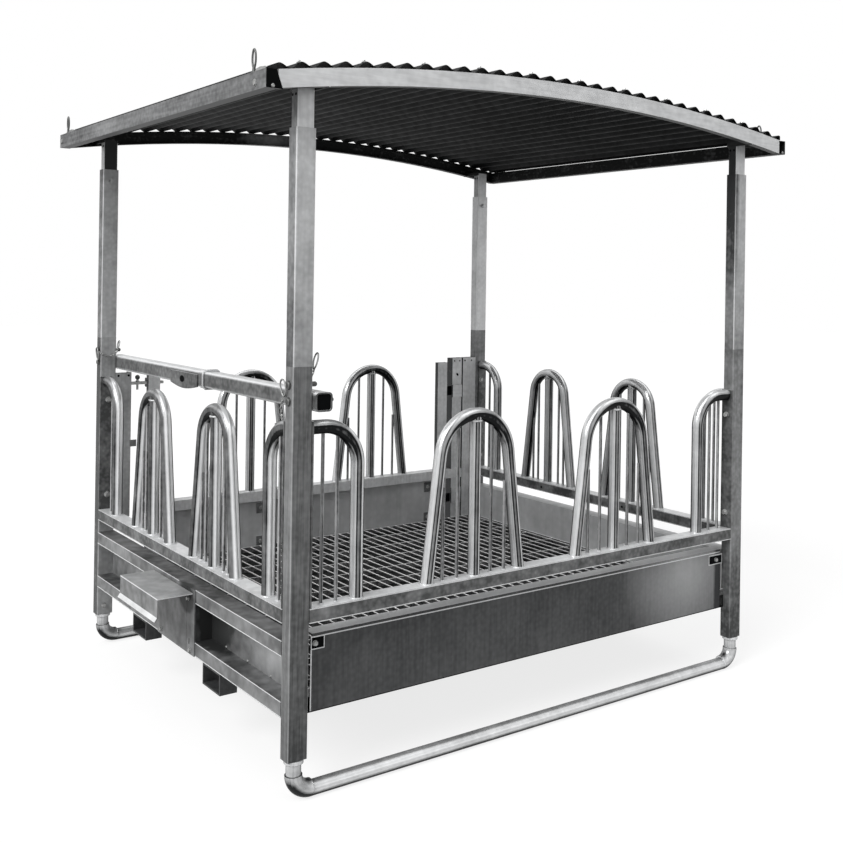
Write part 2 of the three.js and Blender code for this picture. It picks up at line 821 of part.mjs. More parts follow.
function hollowStile(x, y, z) {
  const outer = block(x, y, z);
  const inner = block(
    [x[0] + gate.wall, x[1] - gate.wall],
    [y[0] + gate.wall, y[1] - gate.wall],
    [z[0] - overrun, z[1] + overrun],
  );
  return { outer, inner };
}

function hingeEye(low) {
  const z = [low, low + hinge.tall];
  const barrel = rodZ(hinge.eye, hingeX, hingeY, z);
  const tab = block(
    [gate.hingeSide - gate.hingeStileWide / 2, hingeX],
    [innerY + gate.hingeStileDeep - gate.wall / 2, hingeY + hinge.eye / 2],
    z,
  );
  const strap = block(
    [gate.hingeSide - gate.hingeStileWide, gate.hingeSide],
    [innerY - hinge.strap, innerY + gate.wall / 2],
    z,
  );
  const bore = rodZ(hinge.pin + hinge.play, hingeX, hingeY, [z[0] - overrun, z[1] + overrun]);
  return { solid: joined([barrel, tab, strap]), bore };
}

function gateFrame() {
  const railY = [footprint.y / 2 - rail.deep, footprint.y / 2];
  const railX = [gate.latchSide, gate.hingeSide];
  const railBlock = block(railX, railY, [rail.bottom, railTop]);
  const railBore = block(
    [railX[0] - overrun, railX[1] + overrun],
    [railY[0] + rail.wall, railY[1] - rail.wall],
    [rail.bottom + rail.wall, railTop - rail.wall],
  );
  const latchStile = hollowStile(
    [gate.latchSide, gate.latchSide + gate.stileWide],
    [innerY, innerY + gate.stileDeep],
    [panel.bottom, flangeTop],
  );
  const innerStile = hollowStile(
    [gate.innerStileLeft, gate.innerStileLeft + gate.innerStileWide],
    [innerY, innerY + gate.stileDeep],
    [panel.bottom, flangeTop],
  );
  const hingeStile = hollowStile(
    [gate.hingeSide - gate.hingeStileWide, gate.hingeSide],
    [innerY, innerY + gate.hingeStileDeep],
    [panel.bottom, hingeTop],
  );
  const eyes = hingeHeights.map(hingeEye);
  const latchHole = block(
    [gate.latchSide - overrun, gate.latchSide + gate.stileWide + overrun],
    [latchY - latch.deep / 2 - latch.play, latchY + latch.deep / 2 + latch.play],
    [latchHeight - latch.tall / 2 - latch.play, latchHeight + latch.tall / 2 + latch.play],
  );
  const guide = block(
    [gate.latchSide, gate.latchSide + gate.stileWide],
    [innerY + gate.stileDeep - gate.wall, latchY + latch.deep / 2 + latch.inset / 2],
    [latchHeight - latch.inset, latchHeight + latch.inset],
  );
  const solids = [railBlock, latchStile.outer, innerStile.outer, hingeStile.outer];
  const hollows = [railBore, latchStile.inner, innerStile.inner, hingeStile.inner];
  return joined(solids)
    .subtract(joined(hollows))
    .add(guide)
    .add(joined(eyes.map((each) => each.solid)))
    .subtract(joined([latchHole, ...eyes.map((each) => each.bore)]));
}

function hingePost() {
  const x = [gate.hingeSide + hinge.slot, innerX - seatGap];
  const y = [innerY, footprint.y / 2];
  const z = [panel.bottom, hingeTop];
  const outer = block(x, y, z);
  const inner = block(
    [x[0] + hinge.wall, x[1] + overrun],
    [y[0] + hinge.wall, y[1] - hinge.wall],
    [z[0] - overrun, z[1] + overrun],
  );
  const pintles = hingeHeights.map((low) => {
    const armZ = [low - seatGap - hinge.arm, low - seatGap];
    const arm = block([hingeX, x[0] + hinge.eye * 2], [y[1] - hinge.wall / 2, hingeY + hinge.eye], armZ);
    const rest = rodZ(hinge.eye, hingeX, hingeY, armZ);
    const shaft = rodZ(hinge.pin, hingeX, hingeY, [armZ[0], low + hinge.tall + hinge.pinPast]);
    return joined([arm, rest, shaft]);
  });
  return joined([outer.subtract(inner), ...pintles]);
}

// Sheet of the gate, hung under its rail between the stiles
function gatePanel() {
  const x = [gate.latchSide + gate.stileWide + seatGap, gate.innerStileLeft - seatGap];
  const y = [footprint.y / 2 - panel.recess - panel.thick, footprint.y / 2 - panel.recess];
  const top = rail.bottom - seatGap;
  const wall = block(x, y, [panel.bottom, top]);
  const lip = block(x, [y[0], footprint.y / 2], [top - panel.thick, top]);
  const hem = block(x, [y[0], footprint.y / 2], [panel.bottom, panel.bottom + panel.thick]);
  return joined([wall, lip, hem]);
}

addPiece('gate_frame', gateFrame(), 'galvanised');
addPiece('gate_panel', gatePanel(), 'galvanisedDark');
addPiece('hinge_post', hingePost(), 'galvanised');

const latchEnd = -innerX + keeper.wide + latch.clear;

function latchBolt() {
  const z = [latchHeight - latch.tall / 2, latchHeight + latch.tall / 2];
  const y = [latchY - latch.deep / 2, latchY + latch.deep / 2];
  const flat = block([latchEnd, gate.latchSide + gate.stileWide + latch.inset], y, z);
  const bore = [z[0] - overrun, z[1] + overrun];
  const hole = rodZ(latch.pinRadius + pin.play, gate.latchSide - latch.pinAt, latchY, bore);
  return flat.subtract(hole);
}

function dropPinSolid() {
  const x = gate.latchSide - latch.pinAt;
  const bolt = [latchHeight - latch.tall / 2, latchHeight + latch.tall / 2];
  const top = bolt[1] + dropPin.above;
  const shaft = rodZ(latch.pinRadius, x, latchY, [bolt[0] - dropPin.below, top]);
  const collarLow = bolt[1] + seatGap;
  const collar = rodZ(dropPin.collar, x, latchY, [collarLow, collarLow + dropPin.collarTall]);
  const head = rodZ(dropPin.head, x, latchY, [top - dropPin.headTall, top]);
  return joined([shaft, collar, head]);
}

addPiece('latch_bolt', latchBolt(), 'zincBolt');
addPiece('drop_pin', dropPinSolid(), 'zincBolt');

// Roof

function roofLeg(corner) {
  const shape = roundedOutline(leg.wide / 2, leg.deep / 2, leg.corner);
  shape.holes.push(rectangleHole(leg.wide / 2 - leg.wall, leg.deep / 2 - leg.wall));
  const tube = raised(shape, [seam + leg.aboveSeam, legTop]);
  return tube.translate([corner.x * postX, corner.y * postY, 0]);
}

for (const corner of corners) {
  addPiece(`roof_leg_${corner.name}`, roofLeg(corner), 'brightTube');
}

// A band between two radii about the roof's centre of curvature, drawn in X and Z
function arcBand(low, high) {
  const arcPoints = (radius) => {
    const reach = Math.asin(beamHalf / radius);
    const points = [];
    for (let i = 0; i <= beam.steps; i += 1) {
      const angle = reach * ((i / beam.steps) * 2 - 1);
      points.push([radius * Math.sin(angle), roofCentreZ + radius * Math.cos(angle)]);
    }
    return points;
  };
  return outline([...arcPoints(low), ...arcPoints(high).reverse()]);
}

// Arched channel with its web outward, and the saddles that the roof legs are bolted into.
// sign is -1 for the front beam and 1 for the rear one
function roofBeam(sign) {
  const face = sign < 0 ? roofFront : roofRear;
  const span = (from, to) => (sign < 0 ? [face + from, face + to] : [face - to, face - from]);
  const low = roofRadius;
  const high = roofRadius + beam.tall;
  const web = alongY(arcBand(low, high), span(0, beam.wall));
  const foot = alongY(arcBand(low, low + beam.wall), span(0, beam.deep));
  const head = alongY(arcBand(high - beam.wall, high), span(0, beam.deep));
  const parts = [web, foot, head];
  const legBack = Math.abs(face) - postY + leg.deep / 2 + saddle.past;
  for (const x of [-postX, postX]) {
    const inner = leg.wide / 2 + saddle.play;
    const outer = inner + saddle.cheek;
    const capZ = [legTop + seatGap, legTop + seatGap + saddle.cap];
    for (const side of [-1, 1]) {
      const cheek = sided(side, inner, outer);
      const cheekZ = [legTop - saddle.drop, capZ[1]];
      parts.push(block([x + cheek[0], x + cheek[1]], span(beam.wall / 2, legBack), cheekZ));
    }
    parts.push(block([x - outer, x + outer], span(beam.wall / 2, legBack), capZ));
  }
  return joined(parts);
}

addPiece('roof_beam_front', roofBeam(-1), 'galvanised');
addPiece('roof_beam_rear', roofBeam(1), 'galvanised');

function eaveTube(sign) {
  const x = sided(sign, eaveOuter - eave.wide, eaveOuter);
  const z = [eaveBottom, eaveBottom + eave.tall];
  const y = [roofFront, roofRear];
  const bore = block(
    [x[0] + eave.wall, x[1] - eave.wall],
    [y[0] - overrun, y[1] + overrun],
    [z[0] + eave.wall, z[1] - eave.wall],
  );
  return block(x, y, z).subtract(bore);
}

addPiece('roof_eave_left', eaveTube(-1), 'galvanised');
addPiece('roof_eave_right', eaveTube(1), 'galvanised');

// Sine-corrugated sheet bent over the beams, its ridges along Y
function roofSheet() {
  const seatRadius = roofRadius + beam.tall + seatGap;
  const waves = Math.round((beamHalf * 2) / sheet.pitch);
  const half = (waves / 2) * sheet.pitch;
  const count = waves * sheet.pointsPerWave;
  const places = [-half - sheet.edge];
  for (let i = 0; i <= count; i += 1) {
    places.push(((i / count) * 2 - 1) * half);
  }
  places.push(half + sheet.edge);
  const line = (lift) => places.map((along) => {
    const phase = ((along + half) / sheet.pitch) * Math.PI * 2;
    const radius = seatRadius + lift + (sheet.wave / 2) * (1 + Math.cos(phase));
    const angle = along / seatRadius;
    return [radius * Math.sin(angle), roofCentreZ + radius * Math.cos(angle)];
  });
  const section = outline([...line(0), ...line(sheet.thick).reverse()]);
  return alongY(section, [roofFront, roofRear]);
}

addPiece('roof_sheet', roofSheet(), 'roofSheet');

// Lifting eyes screwed into the eaves
function liftingEye(corner) {
  const x = corner.x * (eaveOuter - eave.wide / 2);
  const y = corner.y < 0 ? roofFront + eye.frontInset : roofRear - eye.rearInset;
  const seat = eaveBottom + eave.tall + seatGap;
  const collar = rodZ(eye.collar, x, y, [seat, seat + eye.collarTall], eye.sides);
  const stem = rodZ(eye.stem, x, y, [seat, seat + eye.stemTall], eye.sides);
  const torus = new THREE.TorusGeometry(eye.ring, eye.wire / 2, eye.sides, eye.steps);
  torus.rotateY(Math.PI / 2);
  torus.translate(x, y, seat + eye.stemTall + eye.ring);
  return joined([collar, stem, solidOf(torus)]);
}

for (const corner of corners) {
  addPiece(`lifting_eye_${corner.name}`, liftingEye(corner), 'zincBolt');
}

export default feeder;
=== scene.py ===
import math
import random

import bmesh
import bpy
from mathutils import Matrix, Vector


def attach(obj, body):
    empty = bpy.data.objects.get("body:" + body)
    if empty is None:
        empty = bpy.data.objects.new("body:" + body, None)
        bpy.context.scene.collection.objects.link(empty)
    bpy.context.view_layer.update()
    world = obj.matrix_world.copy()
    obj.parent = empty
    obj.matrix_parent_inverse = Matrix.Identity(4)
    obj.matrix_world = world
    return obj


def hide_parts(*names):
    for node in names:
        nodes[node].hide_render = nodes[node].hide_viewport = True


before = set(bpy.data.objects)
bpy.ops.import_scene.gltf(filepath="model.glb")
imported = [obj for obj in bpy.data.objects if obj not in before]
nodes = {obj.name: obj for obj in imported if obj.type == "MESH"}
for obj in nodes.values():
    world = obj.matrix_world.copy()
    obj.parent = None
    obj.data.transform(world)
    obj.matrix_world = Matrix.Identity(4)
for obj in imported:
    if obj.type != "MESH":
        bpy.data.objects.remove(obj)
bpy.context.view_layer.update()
print("frame loaded:", len(nodes), "nodes")

mm = 0.001
dice = random.Random(7)  # fixed, so every run gives the same weld beads


def addObject(name, data):
    made = bpy.data.objects.new(name, data)
    bpy.context.scene.collection.objects.link(made)
    return made


# camera, solved from the photograph's straight edges
camera = {
    "placeMm": (-2653.1, -3745.2, 1605.4),
    "yawDeg": 35.66,
    "rollDeg": 0.848,
    "lensMm": 45.666,
    "sensorMm": 36.0,
    "shiftY": -0.168,
    "farM": 80,
}

cameraData = bpy.data.cameras.new("studioCamera")
cameraData.lens = camera["lensMm"]
cameraData.sensor_width = camera["sensorMm"]
cameraData.sensor_fit = "HORIZONTAL"
cameraData.shift_y = camera["shiftY"]
cameraData.clip_end = camera["farM"]
cameraObject = addObject("studioCamera", cameraData)
cameraObject.matrix_world = (
    Matrix.Translation(Vector(camera["placeMm"]) * mm)
    @ Matrix.Rotation(math.radians(-camera["yawDeg"]), 4, "Z")
    @ Matrix.Rotation(math.radians(90), 4, "X")
    @ Matrix.Rotation(math.radians(camera["rollDeg"]), 4, "Z")
)
bpy.context.scene.camera = cameraObject
bpy.context.scene.view_settings.view_transform = "Standard"
print("camera placed")


def linearColour(hexValue):
    parts = [int(hexValue[i : i + 2], 16) / 255 for i in (1, 3, 5)]
    parts = [c / 12.92 if c <= 0.04045 else ((c + 0.055) / 1.055) ** 2.4 for c in parts]
    return (*parts, 1.0)


def addNode(tree, kind, settings=None, inputs=None):
    # an input takes a plain value, or another node's output socket
    node = tree.nodes.new(kind)
    for key, value in (settings or {}).items():
        setattr(node, key, value)
    for key, value in (inputs or {}).items():
        if isinstance(value, bpy.types.NodeSocket):
            tree.links.new(value, node.inputs[key])
        else:
            node.inputs[key].default_value = value
    return node


def emptyTree(owner):
    owner.use_nodes = True
    owner.node_tree.nodes.clear()
    return owner.node_tree


# ends of the scale on which each mark of the zinc comes in, as the node that draws it counts
markRange = {
    "patch": (0.1, 0.8),
    "cloud": (0.32, 0.68),
    "run": (0.4, 0.62),
    "drawn": (0.44, 0.57),
    "spot": (1.0, 0.1),
    "fold": (0.0, 1.0),
    "wear": (0.99, 0.75),  # 1 on a flat face, less on the corner between two
}


def zincSteel(name, spec):
    # Zinc on steel: soft patches from the bath, long runs of drained zinc, drawing marks with painted
    # reflection streaks that follow the way a tube faces, painted shade and painted light by facing and
    # round given points, painted shade towards the foot, folds with a painted highlight, corners bright from
    # wear and a painted highlight, and a dull grain. spec gives the colours, the gloss, and how much each
    # mark darkens (its share) with its real size in mm
    material = bpy.data.materials.new(name)
    tree = emptyTree(material)
    coordinates = addNode(tree, "ShaderNodeTexCoord")
    place = coordinates.outputs["Object"]
    facing = coordinates.outputs["Normal"]
    where = addNode(tree, "ShaderNodeSeparateXYZ", None, {0: place})
    patchInputs = {"Vector": place, "Scale": 1000 / spec["patchMm"], "Smoothness": 0.7}
    patch = addNode(tree, "ShaderNodeTexVoronoi", {"feature": "SMOOTH_F1"}, patchInputs)
    marks = [(patch.outputs["Distance"], *markRange["patch"], spec["patchShare"])]
    runPlace = addNode(tree, "ShaderNodeMapping", None, {"Vector": place, "Scale": spec["runScale"]})
    noises = {
        "cloud": {"Vector": place, "Scale": 1000 / spec["cloudMm"], "Detail": 5.0, "Roughness": 0.6},
        "run": {"Vector": runPlace.outputs["Vector"], "Scale": 1000 / spec["runMm"], "Detail": 3.0},
        # drawing marks and painted reflection streaks: a noise read from the way the surface faces, so its
        # streaks run along a tube
        "drawn": {"Vector": facing, "Scale": spec["drawnAndReflectionPerTurn"], "Detail": 2.0, "Roughness": 0.7},
    }
    for kind, inputs in noises.items():
        if spec[kind + "Share"]:
            noise = addNode(tree, "ShaderNodeTexNoise", None, inputs)
            marks.append((noise.outputs["Fac"], *markRange[kind], spec[kind + "Share"]))
    # painted shade on the faces that look one way; a negative share paints light there instead
    for direction, low, high, share in spec["sides"]:
        pair = {0: facing, 1: Vector(direction).normalized()}
        side = addNode(tree, "ShaderNodeVectorMath", {"operation": "DOT_PRODUCT"}, pair)
        marks.append((side.outputs["Value"], low, high, share))
    # painted shade round a point; a negative share paints light there instead
    for centre, reach, share in spec["spots"]:
        scale = [1000 / r for r in reach]
        shift = [-c / r for c, r in zip(centre, reach)]
        toSpot = {"Vector": place, "Scale": scale, "Location": shift}
        spot = addNode(tree, "ShaderNodeMapping", None, toSpot).outputs["Vector"]
        far = addNode(tree, "ShaderNodeVectorMath", {"operation": "LENGTH"}, {0: spot})
        marks.append((far.outputs["Value"], *markRange["spot"], share))
    # painted shade towards the foot, fading out upwards between two heights
    if spec["climb"]:
        low, high, share = spec["climb"]
        marks.append((where.outputs["Z"], high * mm, low * mm, share))
    # a painted highlight along each fold
    for level in spec["folds"]:
        near = {0: where.outputs["Z"], 1: level * mm, 2: spec["foldHalfMm"] * mm}
        fold = addNode(tree, "ShaderNodeMath", {"operation": "COMPARE"}, near)
        if spec["foldAcross"]:
            # only where x lies within this reach of a value
            middle, reach = spec["foldAcross"]
            near = {0: where.outputs["X"], 1: middle * mm, 2: reach * mm}
            within = addNode(tree, "ShaderNodeMath", {"operation": "COMPARE"}, near)
            both = {0: fold.outputs[0], 1: within.outputs[0]}
            fold = addNode(tree, "ShaderNodeMath", {"operation": "MULTIPLY"}, both)
        marks.append((fold.outputs[0], *markRange["fold"], -spec["foldShare"]))
    # corners brighter than flat faces: wear, and a painted highlight where a rounded corner catches light
    if spec["wearShare"]:
        size = addNode(tree, "ShaderNodeVectorMath", {"operation": "ABSOLUTE"}, {0: facing})
        part = addNode(tree, "ShaderNodeSeparateXYZ", None, {0: size.outputs["Vector"]})
        most = part.outputs["X"]
        for axis in ("Y", "Z"):
            pair = {0: most, 1: part.outputs[axis]}
            most = addNode(tree, "ShaderNodeMath", {"operation": "MAXIMUM"}, pair).outputs[0]
        marks.append((most, *markRange["wear"], -spec["wearShare"]))
    # each mark moves the tone between the pale and the dark zinc by its own share
    tone = spec["base"]
    for source, low, high, share in marks:
        span = {"Value": source, "From Min": low, "From Max": high, "To Max": share}
        pair = {0: tone, 1: addNode(tree, "ShaderNodeMapRange", None, span).outputs["Result"]}
        tone = addNode(tree, "ShaderNodeMath", {"operation": "ADD"}, pair).outputs[0]
    ends = {0: tone, 6: linearColour(spec["pale"]), 7: linearColour(spec["dark"])}
    colour = addNode(tree, "ShaderNodeMix", {"data_type": "RGBA"}, ends)
    finest, coarsest = [spec["roughness"] + change for change in spec["roughnessChange"]]
    gloss = addNode(tree, "ShaderNodeMapRange", None, {"Value": tone, "To Min": finest, "To Max": coarsest})
    grainInputs = {"Vector": place, "Scale": 1000 / spec["grainMm"], "Detail": 2.0}
    grain = addNode(tree, "ShaderNodeTexNoise", None, grainInputs)
    deep = spec["grainDeepMm"] * mm
    bump = {"Height": grain.outputs["Fac"], "Strength": spec["relief"], "Distance": deep}
    relief = addNode(tree, "ShaderNodeBump", None, bump)
    inputs = {
        "Base Color": colour.outputs[2],
        "Metallic": spec["metallic"],
        "Roughness": gloss.outputs["Result"],
        "Specular IOR Level": spec["specular"],
        "Specular Tint": linearColour(spec["edge"]),
        "Normal": relief.outputs["Normal"],
    }
    shader = addNode(tree, "ShaderNodeBsdfPrincipled", None, inputs)
    addNode(tree, "ShaderNodeOutputMaterial", None, {"Surface": shader.outputs["BSDF"]})
    return material


# hot-dip galvanised steel, the start of every finish
hotDip = {
    "metallic": 0.3,
    "roughness": 0.44,
    "roughnessChange": (-0.04, 0.12),  # where the zinc is pale, and where it is dark
    "specular": 0.35,
    "edge": "#ffffff",
    "patchMm": 16,
    "patchShare": 0.12,
    "cloudMm": 110,
    "cloudShare": 0.2,
    "runMm": 12,
    "runScale": (1.0, 1.0, 0.04),
    "runShare": 0.06,
    # drawing marks and painted reflection streaks along a tube
    "drawnAndReflectionPerTurn": 1.6,
    "drawnShare": 0,
    # painted shade by facing; a negative share paints light
    "sides": [],  # a direction, the range of its cosine, and the share
    # painted shade round a point; a negative share paints light
    "spots": [],  # a centre, its reach along each axis, and the share
    # painted shade towards the foot
    "climb": None,  # the heights between which a mark fades out, and its share
    # painted highlights along folds
    "folds": [],
    "foldHalfMm": 2.0,
    "foldShare": 0.8,
    "foldAcross": None,
    # corners made brighter: wear and a painted highlight
    "wearShare": 0.6,
    "grainMm": 3,
    "grainDeepMm": 0.4,
    "relief": 0.22,
}
# the same steel drawn to a round tube: smoother, with darker glints and no corners, so no edges bright from
# wear and a painted highlight
drawnSteel = {
    **hotDip,
    "metallic": 0.45,
    "roughness": 0.22,
    "specular": 0.3,
    "edge": "#4a4a4a",
    "wearShare": 0,
    "relief": 0.06,
}
# folded and trodden steel: bright at its corners, partly from wear and partly a painted highlight, with soft
# clouds in place of runs
wornAndEdgeLitSteel = {**hotDip, "runScale": (0.3, 0.3, 0.3), "wearShare": 0.9}

outLeft = (-1, 0, 0)
outRight = (1, 0, 0)
outFront = (0, -1, 0)
outRear = (0, 1, 0)
upward = (0, 0, 1)
downward = (0, 0, -1)
# bands painted along this direction are painted reflections and highlights, as the tubes look from the
# camera
acrossCameraSight = (0.812, -0.583, 0)  # level, and square to the line from front left to rear right


def paintedShadeLeft(share):
    # painted shade on the faces that look left
    return [(outLeft, 0.3, 0.9, share)]


def tinted(pale, dark, base, start=hotDip, **changes):
    # base is the tone without any mark, from 0 (pale) to 1 (dark)
    return {**start, "pale": pale, "dark": dark, "base": base, **changes}


